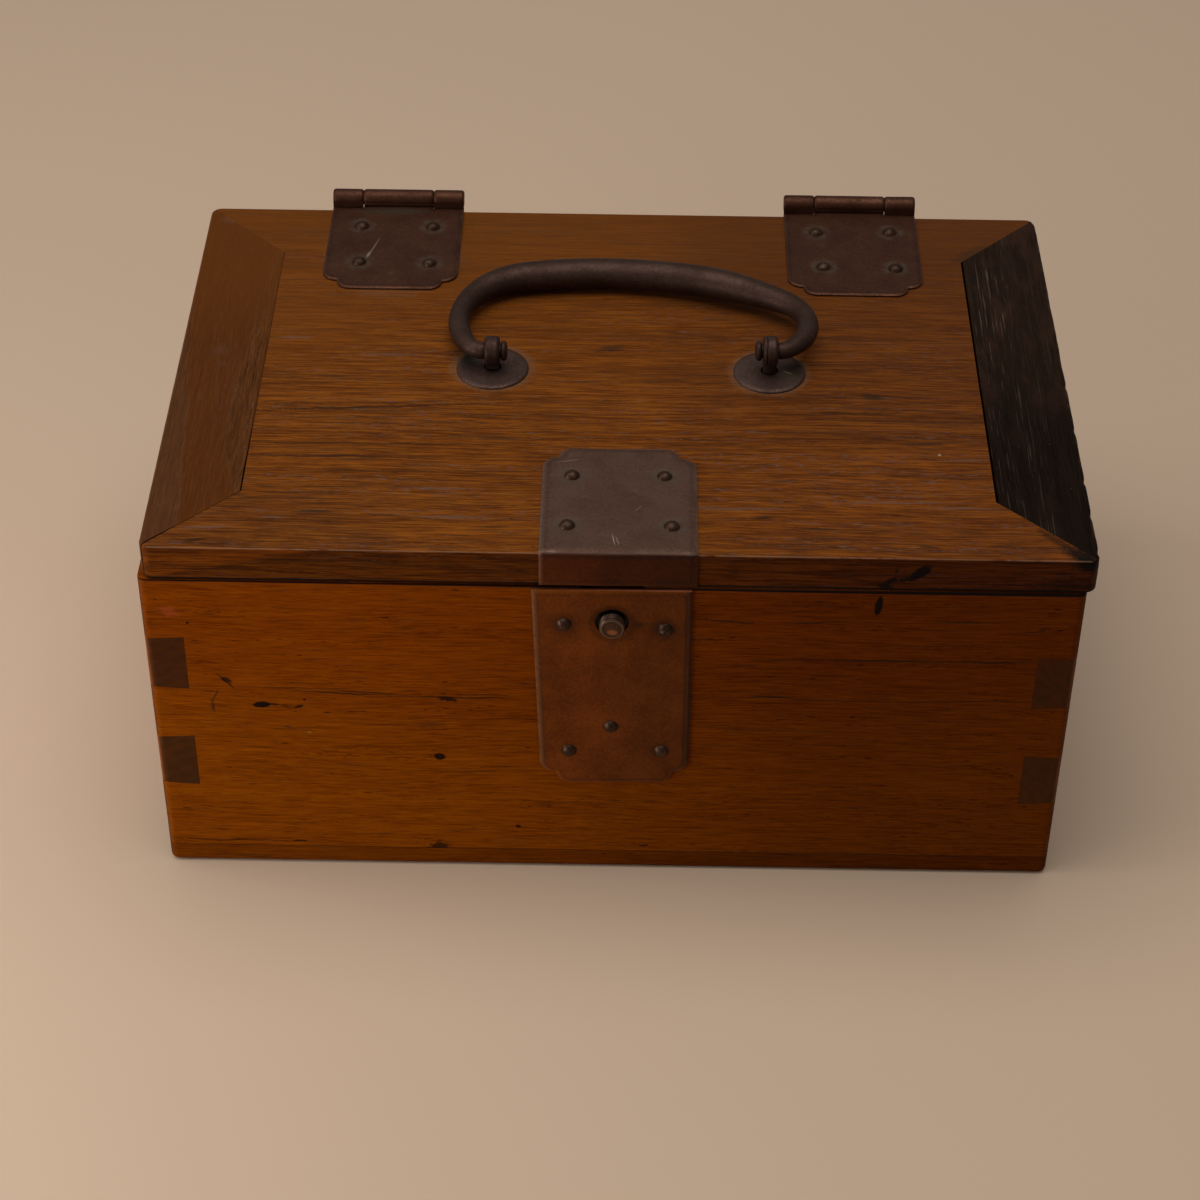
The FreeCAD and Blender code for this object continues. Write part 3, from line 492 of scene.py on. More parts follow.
def plate_sheet(outline, thickness, nails, holes=(), seed=0.0, bevel=(0.75, 0.34), waves=0.1, dimple=0.14, pits=()):
    """A hand-worked plate: rubbed edges, slight waves, dimples at the nails and dents."""
    loops = [list(outline)] + [list(hole) for hole in holes]
    rows = [p for loop in loops for p in loop]
    edges = []
    start = 0
    for loop in loops:
        edges += [(start + i, start + (i + 1) % len(loop)) for i in range(len(loop))]
        start += len(loop)
    inner = []
    width = bevel[0]
    for loop in loops:
        for share in (0.34, 0.68, 1.0, 1.5):
            inner += [tuple(p) for p in inset(loop, share * width)]
    for x, y in nails:
        for radius in (1.6, 2.2, 3.0, 4.0):
            inner += arc_points(x, y, radius, 0, 337.5, 15)
    for x, y, radius, _ in pits:
        for share in (0.0, 0.5, 1.0):
            inner += arc_points(x, y, radius * share + 0.01, 0, 315, 7)
    low = np.min(outline, axis=0)
    high = np.max(outline, axis=0)
    step = 1.35
    for j, y in enumerate(np.arange(low[1], high[1], step * 0.87)):
        inner += [(x + (j % 2) * step / 2, y) for x in np.arange(low[0], high[0], step)]
    inner = np.array(inner)
    keep = within(inner, loops[0])
    for hole in loops[1:]:
        keep &= ~within(inner, hole)
    inner = inner[keep]
    away = np.min([loop_distance(inner, loop) for loop in loops], axis=0)
    inner = inner[away > width * 0.27]
    chosen = []
    cells = {}
    for x, y in inner:
        key = (int(x // 0.25), int(y // 0.25))
        if key not in cells:
            cells[key] = True
            chosen.append((float(x), float(y)))
    flat = [Vector(p) for p in rows + chosen]
    verts, _, triangles = delaunay_2d_cdt(flat, edges, [], 0, 1e-5)[:3]
    centres = np.array([np.mean([verts[i][:] for i in t], axis=0) for t in triangles])
    keep = within(centres, loops[0])
    for hole in loops[1:]:
        keep &= ~within(centres, hole)
    triangles = [tuple(t) for t, kept in zip(triangles, keep) if kept]
    flat = np.array([v[:] for v in verts])
    away = np.min([loop_distance(flat, loop) for loop in loops], axis=0)
    nail_gap = np.full(len(flat), 99.0)
    for x, y in nails:
        nail_gap = np.minimum(nail_gap, np.hypot(flat[:, 0] - x, flat[:, 1] - y))
    lift = np.array([noise.noise(Vector((x * 0.07, y * 0.07, seed * 5.3 + 1.7))) for x, y in flat]) * waves
    lift += np.array([noise.noise(Vector((x * 0.3, y * 0.3, seed * 3.1))) for x, y in flat]) * waves * 0.25
    rub = np.array([noise.noise(Vector((x * 0.22, y * 0.22, seed * 7.7))) for x, y in flat])
    slope = np.clip(1 - away / (width * (1 + 0.35 * rub)), 0, 1) ** 1.7
    top = thickness + lift - slope * bevel[1] - dimple * np.exp(-((nail_gap / 2.8) ** 2))
    for x, y, radius, depth in pits:
        gap = np.hypot(flat[:, 0] - x, flat[:, 1] - y)
        top -= depth * np.exp(-((gap / radius) ** 2))
    count = len(flat)
    points = [(x, y, z) for (x, y), z in zip(flat.tolist(), top.tolist())]
    points += [(x, y, 0.0) for x, y in flat.tolist()]
    faces = triangles + [tuple(i + count for i in t[::-1]) for t in triangles]
    sided = {}
    for t in triangles:
        for a, b in zip(t, t[1:] + t[:1]):
            sided[(a, b)] = True
    faces += [(b, a, a + count, b + count) for a, b in sided if (b, a) not in sided]
    rim = np.exp(-((away / 0.55) ** 2))
    border = np.exp(-(((away - width * 1.15) / 0.3) ** 2))
    # Falls off from each nail's rim: it carries the pale stain halo and the dark ring at the nail's foot, which is
    # partly dirt and partly painted shade
    nail_stain_and_shade = np.exp(-np.clip(nail_gap - 2.0, 0, None) / 1.1)
    nail_stain_and_shade[nail_gap > 7.5] = 0
    fields = {"rim": rim, "border": border, "nail_stain_and_shade": nail_stain_and_shade}
    fields = {key: list(values) + [0.0] * count for key, values in fields.items()}
    return points, faces, fields


def nail_dome(place, outward, seed, radius=2.0, height=1.35, crack=0.0):
    """One hand-made domed nail, with a short shank under its head."""
    steps = 9
    profile = [(-3.0, 0.05), (-3.0, 0.7), (-0.25, 0.7), (-0.2, radius * 0.9), (-0.02, radius * 0.985)]
    dome = (radius**2 + height**2) / (2 * height)
    for i in range(steps + 1):
        here = radius * (1 - (i / steps) ** 1.25)
        profile.append((math.sqrt(dome**2 - here**2) - dome + height, max(here, 0.04)))
    wide = 1 + 0.05 * noise.noise(Vector((seed * 1.3, 2.2, 0.4)))
    lean = Vector((noise.noise(Vector((seed, 0.3, 9.1))), noise.noise(Vector((seed, 7.3, 1.1))), 0)) * 0.10

    def uneven(along, angle, here):
        bumpy = noise.noise(Vector((math.cos(angle) * 1.1, math.sin(angle) * 1.1, seed * 2.7)))
        ridge = noise.noise(Vector((math.cos(angle) * 3.5, math.sin(angle) * 3.5, seed + along)))
        return wide * (1 + 0.055 * bumpy + (0.015 + crack * 0.09) * ridge)

    points, faces = revolved(profile, 28, uneven=uneven)
    turn = Vector(outward).to_track_quat("Z", "Y")
    out = []
    for x, y, z in points:
        rough = noise.noise(Vector((y * 1.2, z * 1.2, seed * 4.1))) * (0.05 + crack * 0.25)
        rise = x + (rough + lean.x * y + lean.y * z if x > 0.05 else 0.0)
        out.append(tuple(Vector(place) + turn @ Vector((y, z, rise))))
    return out, faces


def hinge_roll(hinge_x, start, end, seed, seam):
    """One knuckle: a strip rolled round the pin, with a seam along it."""
    length = end - start
    stations = [0.0, 0.12, 0.35, 0.7]
    middle = [length * i / 9 for i in range(1, 9)]
    across = stations + [m for m in middle if 1.0 < m < length - 1.0] + [length - s for s in stations[::-1]]
    profile = [(start, 1.36), (start, 1.9)]
    for along in across:
        edge = min(along, length - along)
        drop = 0.4 * max(0.0, 1 - edge / 0.7) ** 2
        profile.append((start + along, 2.48 - drop))
    profile += [(end, 1.9), (end, 1.36)]

    def uneven(along, angle, radius):
        if radius < 2.0:
            return 1.0
        bumpy = noise.noise(Vector((along * 0.16, math.cos(angle) * 0.8 + seed, math.sin(angle) * 0.8)))
        offset = abs((angle - seam + math.pi) % (2 * math.pi) - math.pi)
        return 1.0 + min(0.0, 0.018 * bumpy - 0.004) - 0.13 * max(0.0, 1 - offset / 0.1)

    points, faces = revolved(profile, 56, True, uneven)
    return [(x + hinge_x, y + HINGE_Y, z + HINGE_Z) for x, y, z in points], faces


# Wooden pieces
def cut_planes(shape, axis, places):
    normal = [0.0, 0.0, 0.0]
    normal[axis] = 1.0
    for place in places:
        point = [c * place * MM for c in normal]
        bmesh.ops.bisect_plane(
            shape, geom=shape.verts[:] + shape.edges[:] + shape.faces[:], dist=1e-7, plane_co=point, plane_no=normal
        )


def board(node, body, material, groove=0.14, chosen=None, cuts=(), reshape=None):
    """A board with its sharp visible edges eased, and a worn shape where reshape gives one."""
    shape = bmesh.new()
    shape.from_mesh(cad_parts[node].data)
    bmesh.ops.remove_doubles(shape, verts=shape.verts, dist=2e-6)
    bmesh.ops.dissolve_limit(shape, angle_limit=math.radians(0.4), verts=shape.verts, edges=shape.edges)
    for axis, places in cuts:
        cut_planes(shape, axis, places)
    if groove:
        edges = [
            e for e in shape.edges
            if len(e.link_faces) == 2 and e.calc_face_angle(0) > math.radians(28)
            and (chosen is None or chosen(e.verts[0].co / MM, e.verts[1].co / MM))
        ]
        bmesh.ops.bevel(
            shape, geom=edges, offset=groove * MM, offset_type="OFFSET", segments=2, profile=0.6,
            affect="EDGES", clamp_overlap=True,
        )
    if reshape:
        for vertex in shape.verts:
            vertex.co = Vector(reshape(*(vertex.co / MM))) * MM
    mesh = bpy.data.meshes.new(node + "_wood")
    shape.to_mesh(mesh)
    shape.free()
    obj = place_object(node + "_wood", mesh, material, body, (node,), 30)
    modifier = obj.modifiers.new("normals", "WEIGHTED_NORMAL")
    modifier.keep_sharp = True
    return obj


RIGHT_NOTCHES = [(-4.0, 0.25), (-24.0, 0.28), (-46.0, 0.35), (-60.0, 0.3), (-75.0, 0.4)]


def near(value, target, reach=0.02):
    return abs(value - target) < reach


def case_edges(a, b):
    """The dovetails' outlines at the corners and the outer edges of the rim, without any drilled holes."""
    for point in (a, b):
        outside = near(abs(point.x), CASE_HIGH[0], 2.3) or near(abs(point.y), CASE_BACK, 2.3)
        corner = abs(point.x) > 109.0 and abs(point.y) > 68.5
        rim = near(point.z, CASE_TOP, 0.5)
        if not (outside and (corner or rim)):
            return False
    return (a - b).length > 0.12


def lid_edges(a, b):
    for point in (a, b):
        top = near(point.z, LID_TOP, 0.03)
        left = point.x < LID_LOW[0] + CAP_WIDTH + 0.1
        right = point.x > LID_HIGH[0] - CAP_WIDTH - 0.1
        if not (top and (left or right)):
            return False
    return (a - b).length > 0.12


def make_wooden_pieces():
    paints = wood_paints()
    board("front_board", "case", paints["front"], 0.13, case_edges)
    board("back_board", "case", paints["back"], 0.13, case_edges)
    board("left_board", "case", paints["left"], 0.13, case_edges)
    board("right_board", "case", paints["right"], 0.13, case_edges)
    board("bottom_board", "case", paints["bottom"], 0)
    board("lid_panel", "lid", paints["lid"], 0.13, lid_edges)
    inner_left = LID_LOW[0] + CAP_WIDTH
    inner_right = LID_HIGH[0] - CAP_WIDTH
    along = list(np.arange(-78.0, 78.5, 2.0))
    front_joint = CASE_FRONT + CAP_WIDTH

    def left_gap(x, y, z):
        if abs(x - inner_left) < 0.3 and y > front_joint - 0.5:
            open_share = max(0.3, min(1.0, (-10.0 - y) / 38.0))
            return x - 0.42 * open_share, y, z
        mitre = (x - LID_LOW[0]) - (y - CASE_FRONT)
        if abs(mitre) < 0.4 and y < front_joint + 0.5 and x > LID_LOW[0] + 0.5:
            share = max(0.3, 1 - abs(x + 115.5) / 9.0)
            return x - 0.4 * share, y + 0.4 * share, z
        return x, y, z

    def right_wear(x, y, z):
        if abs(x - inner_right) < 0.3 and front_joint - 0.5 < y < LID_BACK - CAP_WIDTH + 0.5:
            return x + 0.62 + 0.10 * noise.noise(Vector((0, y * 0.08, 1))), y, z
        outer = LID_HIGH[0] + LID_FLARE * (LID_BACK - y) / (LID_BACK - CASE_FRONT) - x
        if outer < 2.6 and z > LID_TOP - 3.2:
            near_edge = max(0.0, 1 - outer / 2.6) * max(0.0, 1 - (LID_TOP - z) / 3.2)
            ragged = 0.10 + 0.05 * noise.noise(Vector((y * 0.3, 8.0, 2.0)))
            ragged += 0.25 * max(0.0, noise.noise(Vector((y * 0.07, 3.0, 5.0))))
            ragged += sum(depth * math.exp(-((y - at) / 1.3) ** 2) for at, depth in RIGHT_NOTCHES)
            bite = ragged * near_edge
            return x - 1.0 * bite, y, z - 0.75 * bite
        return x, y, z

    board(
        "lid_end_left", "lid", paints["left_cap"], 0.13, lid_edges,
        [(1, along)], left_gap,
    )
    edge_x = [LID_HIGH[0] - d for d in (0.25, 0.6, 1.1, 1.8, 2.7)]
    edge_z = [LID_TOP - d for d in (0.3, 0.7, 1.3, 2.2, 3.3)]
    fine = list(np.arange(-78.0, 78.5, 0.8))
    board(
        "lid_end_right", "lid", paints["right_cap"], 0.13, lid_edges,
        [(1, fine), (0, edge_x), (2, edge_z)], right_wear,
    )
    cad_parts["bottom_pegs"].data.materials.clear()
    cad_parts["bottom_pegs"].data.materials.append(paints["pegs"])


def board_tone_and_painted_shade(paint, base, across):
    """Painted shade makes the boards darker and redder to the right; the front is also darker at its foot and more
    golden low on the left, and a painted shadow runs along the gap under the lid.
    """
    x, _, z = paint.split(paint.place)
    cloud = paint.noise(paint.stretched(paint.place, (0.012, 0.02, 0.035), (3.1, 0.0, 5.7)), 1.0, 2, 0.5)
    cloud = paint.math("MULTIPLY", paint.math("SUBTRACT", cloud, 0.5), 60.0)
    # Painted shade: darker to the right, as if lit from the left, less on end grain
    right = paint.fade(paint.math("ADD", x, cloud), -60.0, 70.0)
    right = paint.math("MULTIPLY", right, paint.math("SUBTRACT", 1.0, paint.math("MULTIPLY", across, 0.85)))
    base = paint.mix(right, base, paint.mix(1.0, base, colour(0.56, 0.53, 0.9), "MULTIPLY"))
    high = paint.fade(paint.math("ADD", z, cloud), 30.0, 90.0)
    base = paint.mix(high, base, paint.mix(1.0, base, colour(0.9, 0.80, 0.9), "MULTIPLY"))
    foot = paint.fade(z, 6.9, 6.4, 0.0, 0.75)
    base = paint.mix(foot, base, paint.mix(1.0, base, colour(0.6, 0.58, 0.9), "MULTIPLY"))
    seam = paint.fade(paint.math("ABSOLUTE", paint.math("SUBTRACT", z, 6.5)), 0.3, 0.05, 0.0, 0.5)
    base = paint.mix(seam, base, CRACK)
    # Painted shadow: a black line along the gap under the lid on faces to the front, wider to the right
    depth = paint.fade(x, -110.0, 100.0, 0.45, 1.15)
    rim = paint.fade(paint.math("ADD", z, depth), CASE_TOP - 0.15, CASE_TOP + 0.15)
    forward = paint.fade(paint.split(paint.facing)[1], -0.3, -0.7, 0.0, 0.95)
    return paint.mix(paint.math("MULTIPLY", rim, forward), base, INK_AND_SHADOW)


def duller_to_the_back(paint, base, across):
    """The lid's top is plainer and browner at the back, with painted shade darker to the right; its front edge is
    darker, with more painted shade to the right and a painted shadow along the gap at its foot.
    """
    x, y, z = paint.split(paint.place)
    cloud = paint.noise(paint.stretched(paint.place, (0.014, 0.024, 0.02), (1.3, 4.0, 2.0)), 1.0, 2, 0.5)
    cloud = paint.math("MULTIPLY", paint.math("SUBTRACT", cloud, 0.5), 80.0)
    back = paint.fade(paint.math("ADD", y, cloud), -25.0, 74.0, 0.0, 0.75)
    base = paint.mix(back, base, paint.mix(paint.fade(y, 10.0, 60.0), colour(0.124, 0.0350, 0.0050), colour(0.108, 0.033, 0.0058)))
    # Painted shade: the top darker to the right
    right = paint.fade(paint.math("ADD", x, cloud), -40.0, 110.0)
    base = paint.mix(right, base, paint.mix(1.0, base, colour(0.90, 0.88, 1.1), "MULTIPLY"))
    left = paint.math("MULTIPLY", paint.fade(x, -40.0, -75.0), paint.fade(y, -52.0, -66.0))
    base = paint.mix(left, base, paint.mix(1.0, base, colour(0.84, 0.87, 1.1), "MULTIPLY"))
    middle = paint.math("MULTIPLY", paint.fade(x, 5.0, 35.0), paint.fade(y, -48.0, -22.0))
    base = paint.mix(middle, base, paint.mix(1.0, base, colour(0.84, 0.86, 1.0), "MULTIPLY"))
    forward = paint.fade(paint.split(paint.facing)[1], -0.6, -0.9)
    rising = paint.math("SUBTRACT", paint.math("SUBTRACT", z, LID_LOW[2] + 1.5), paint.math("MULTIPLY", x, 0.23))
    rising = paint.math("ADD", rising, paint.math("MULTIPLY", cloud, 0.04))
    lower = paint.fade(rising, 0.23 * 112 + 0.7, 0.23 * 112 - 0.7)
    shade = paint.mix(lower, colour(0.99, 0.83, 0.52), colour(0.66, 0.59, 0.50))
    # Painted shade: the front edge darker to the right
    along = paint.fade(x, -70.0, 110.0)
    shade = paint.mix(along, shade, colour(0.40, 0.33, 0.38))
    base = paint.mix(forward, base, paint.mix(1.0, base, shade, "MULTIPLY"))
    # Painted shadow along the gap at the foot of the lid's front edge
    foot = paint.math("MULTIPLY", paint.fade(z, LID_LOW[2] + 0.85, LID_LOW[2] + 0.5, 0.0, 0.95), forward)
    return paint.mix(foot, base, INK_AND_SHADOW)


CAP_INNER = [(-80.0, 55.0), (-59.0, 95.4), (-50.6, 98.6), (-30.6, 102.2), (-1.9, 101.3), (35.9, 99.1), (80.0, 96.0)]
CAP_OUTER = [(-80.0, 109.2), (-66.5, 110.3), (-35.5, 112.9), (-17.8, 113.8), (-2.4, 116.5), (12.6, 117.1), (80.0, 125.0)]


def banded_cap(paint, base, across):
    """A plain redder strip runs along the middle between two bands of finer, lighter grain."""
    x, y, _ = paint.split(paint.place)
    wave = paint.math("MULTIPLY", paint.math("SUBTRACT", paint.noise(paint.place, 0.05, 2), 0.5), 2.2)
    outward = paint.math("ADD", paint.math("MULTIPLY", x, -1.0), wave)

    def border(points):
        share = paint.add("MapRange", {0: y, 1: points[0][0], 2: points[-1][0], 3: 0.0, 4: 1.0})
        curve = paint.tree.nodes.new("ShaderNodeFloatCurve")
        paint.feed(curve.inputs["Value"], share)
        line = curve.mapping.curves[0]
        span = points[-1][0] - points[0][0]
        while len(line.points) < len(points):
            line.points.new(0.5, 0.5)
        for point, (along, out) in zip(line.points, points):
            point.location = ((along - points[0][0]) / span, (out - 50.0) / 100.0)
        curve.mapping.update()
        return paint.math("ADD", paint.math("MULTIPLY", curve.outputs[0], 100.0), 50.0)

    inner = paint.math("SUBTRACT", outward, border(CAP_INNER))
    outer = paint.math("SUBTRACT", border(CAP_OUTER), outward)
    middle = paint.math("MULTIPLY", paint.fade(inner, -0.3, 0.5), paint.fade(outer, -0.3, 0.5))
    base = paint.mix(paint.math("MULTIPLY", middle, 0.62), base, colour(0.078, 0.0205, 0.0034))
    grey = paint.math("MULTIPLY", paint.fade(outer, 0.4, -1.6), 0.5)
    base = paint.mix(grey, base, colour(0.072, 0.029, 0.0125))
    line = paint.fade(paint.math("ABSOLUTE", paint.math("MINIMUM", paint.math("ABSOLUTE", inner), paint.math("ABSOLUTE", outer))), 0.5, 0.1)
    base = paint.mix(paint.math("MULTIPLY", line, 0.12), base, colour(0.120, 0.055, 0.024))
    golden = paint.fade(y, 0.0, 50.0, 0.0, 0.5)
    return paint.mix(golden, base, colour(0.108, 0.031, 0.0045))


def fine_light_streaks(paint, base, across):
    """Worn, near-black wood, brown where it is rubbed through and with thin light streaks."""
    x, y, _ = paint.split(paint.place)
    brown = paint.fade(paint.noise(paint.stretched(paint.place, (0.16, 0.05, 0.1), (0.7, 0.0, 0.0)), 1.0, 3, 0.6), 0.5, 0.66)
    base = paint.mix(paint.math("MULTIPLY", brown, 0.55), base, colour(0.030, 0.0135, 0.0085))
    thin = paint.noise(paint.stretched(paint.place, (2.6, 0.055, 0.5), (1.0, 2.0, 3.0), (0, 0, 0.02)), 1.0, 2, 0.55)
    group = paint.fade(paint.noise(paint.stretched(paint.place, (0.22, 0.018, 0.2), (9.0, 2.0, 3.0)), 1.0, 1, 0.5), 0.38, 0.55)
    streak = paint.math("MULTIPLY", paint.fade(thin, 0.58, 0.69), group)
    streak = paint.math("MULTIPLY", streak, paint.fade(x, 117.0, 110.0, 0.15, 1.0))
    base = paint.mix(paint.math("MULTIPLY", streak, 0.75), base, colour(0.100, 0.066, 0.047))
    base = paint.mix(paint.fade(y, 15.0, -30.0, 0.0, 0.85), base, paint.mix(1.0, base, colour(0.36, 0.37, 0.40), "MULTIPLY"))
    dust = paint.fade(paint.noise(paint.place, 1.2, 1, 0.5), 0.775, 0.80)
    return paint.mix(paint.math("MULTIPLY", dust, 0.5), base, colour(0.09, 0.08, 0.07))


def rubbed_edges(shade, width, amount, low_share=0.42, lean=0.0, lowest=-1.0, highest=200.0):
    def worn(paint, base, box):
        away = paint.edge_distance(*box, lean)
        patchy = paint.fade(paint.noise(paint.place, 0.22, 3, 0.6), low_share, low_share + 0.2)
        share = paint.math("MULTIPLY", paint.fade(away, width, width * 0.25), patchy)
        z = paint.split(paint.place)[2]
        share = paint.math("MULTIPLY", share, paint.fade(z, lowest - 0.5, lowest + 0.5))
        share = paint.math("MULTIPLY", share, paint.fade(z, highest + 0.2, highest - 0.2))
        return paint.mix(paint.math("MULTIPLY", share, amount), base, shade)
    return worn


# Near black: for dark marks, and for painted shadow in the gap between lid and case
INK_AND_SHADOW = colour(0.004, 0.004, 0.004)
BROWN_MARK = colour(0.030, 0.016, 0.009)
CRACK = colour(0.022, 0.011, 0.006)
LAVENDER = colour(0.120, 0.068, 0.050)
PALE_HALO = colour(0.140, 0.072, 0.038)
# Each mark: place along and up the face, reach along and up, turn, colour, amount, softness, raggedness
FRONT_MARKS = [
    (-113.3, 90.0, 2.4, 1.5, 20, colour(0.30, 0.055, 0.018), 0.5, 0.4, 1.1),
    (-108.4, 86.3, 0.45, 0.4, 0, INK_AND_SHADOW, 0.9, 0.3, 0.0),
    (-100.0, 67.1, 1.6, 0.75, 40, INK_AND_SHADOW, 0.8, 0.4, 0.9),
    (-100.3, 66.7, 3.4, 0.30, 51, INK_AND_SHADOW, 0.7, 0.5, 0.4),
    (-103.5, 61.2, 0.34, 2.4, 24, BROWN_MARK, 0.6, 0.5, 0.6),
    (-104.1, 57.6, 0.45, 2.0, -8, BROWN_MARK, 0.65, 0.5, 0.6),
    (-91.5, 58.4, 2.2, 1.05, -6, INK_AND_SHADOW, 0.95, 0.2, 0.25),
    (-88.8, 58.6, 1.9, 0.34, 4, INK_AND_SHADOW, 0.8, 0.4, 0.8),
    (-85.2, 58.2, 1.5, 0.5, 0, INK_AND_SHADOW, 0.55, 0.6, 1.4),
    (-81.5, 57.8, 1.15, 0.42, -14, INK_AND_SHADOW, 0.85, 0.4, 0.6),
    (-79.9, 60.1, 0.42, 0.36, 0, INK_AND_SHADOW, 0.85, 0.4, 0.0),
    (-70.6, 62.75, 12.5, 0.24, 2.7, CRACK, 0.85, 0.5, 0.5),
    (-64.0, 63.2, 10.0, 0.20, 4.5, CRACK, 0.75, 0.5, 0.6),
    (-85.0, 64.5, 12.0, 0.17, 1.5, CRACK, 0.5, 0.5, 0.7),
    (-80.0, 66.2, 9.0, 0.15, 1.5, CRACK, 0.35, 0.5, 0.7),
    (-40.5, 62.0, 13.5, 0.24, 0.9, CRACK, 0.85, 0.5, 0.6),
    (-33.0, 62.9, 8.0, 0.2, 1.0, CRACK, 0.6, 0.5, 0.6),
    (-42.6, 61.4, 2.3, 0.75, 8, INK_AND_SHADOW, 0.85, 0.4, 1.1),
    (-45.2, 40.9, 1.6, 1.25, 0, INK_AND_SHADOW, 0.93, 0.18, 0.3),
    (-47.4, 52.2, 2.9, 0.9, 0, BROWN_MARK, 0.4, 0.6, 1.4),
    (-79.5, 48.8, 0.55, 0.5, 0, colour(0.27, 0.13, 0.035), 0.6, 0.5, 0.2),
    (-46.9, 6.4, 3.2, 2.1, -25, INK_AND_SHADOW, 0.82, 0.4, 1.2),
    (-59.9, 51.95, 7.5, 0.2, 1.2, CRACK, 0.6, 0.5, 0.5),
    (-94.4, 43.15, 5.5, 0.18, 0.5, CRACK, 0.5, 0.5, 0.5),
    (-102.0, 8.4, 17.0, 0.28, 0.0, CRACK, 0.7, 0.5, 0.6),
    (-84.0, 8.3, 2.4, 0.32, 0.0, INK_AND_SHADOW, 0.8, 0.5, 0.5),
    (-24.5, 15.2, 0.65, 0.5, 20, INK_AND_SHADOW, 0.9, 0.4, 0.3),
    (9.5, 8.4, 1.2, 0.35, 0, INK_AND_SHADOW, 0.8, 0.5, 0.6),
    (29.0, 89.5, 7.0, 0.30, 4, CRACK, 0.75, 0.5, 1.3),
    (52.0, 89.5, 7.5, 0.26, -2, CRACK, 0.8, 0.5, 1.1),
    (89.0, 90.4, 7.0, 0.28, 0, CRACK, 0.8, 0.5, 1.0),
    (83.5, 82.1, 16.0, 0.20, 0, CRACK, 0.6, 0.5, 1.2),
    (46.0, 76.6, 8.0, 0.22, -2, CRACK, 0.65, 0.5, 0.9),
    (70.3, 76.9, 17.0, 0.32, 0.5, CRACK, 0.92, 0.5, 0.4),
    (97.6, 77.0, 11.0, 0.30, -1, CRACK, 0.8, 0.5, 1.1),
    (30.0, 63.2, 8.0, 0.20, -3, CRACK, 0.55, 0.5, 0.8),
    (42.3, 63.65, 5.3, 0.30, 2, CRACK, 0.9, 0.5, 0.4),
    (58.5, 63.0, 11.0, 0.20, 1.5, CRACK, 0.6, 0.5, 0.6),
    (89.5, 63.2, 20.0, 0.25, -1, CRACK, 0.65, 0.5, 1.0),
    (60.0, 47.0, 12.0, 0.20, 0, CRACK, 0.5, 0.5, 0.9),
    (67.7, 95.4, 1.0, 3.3, 12, INK_AND_SHADOW, 0.95, 0.2, 0.4),
    (92.8, 5.2, 2.8, 0.6, 10, INK_AND_SHADOW, 0.8, 0.4, 0.8),
    (64.0, 5.8, 8.0, 1.2, 0, BROWN_MARK, 0.5, 0.7, 0.9),
]
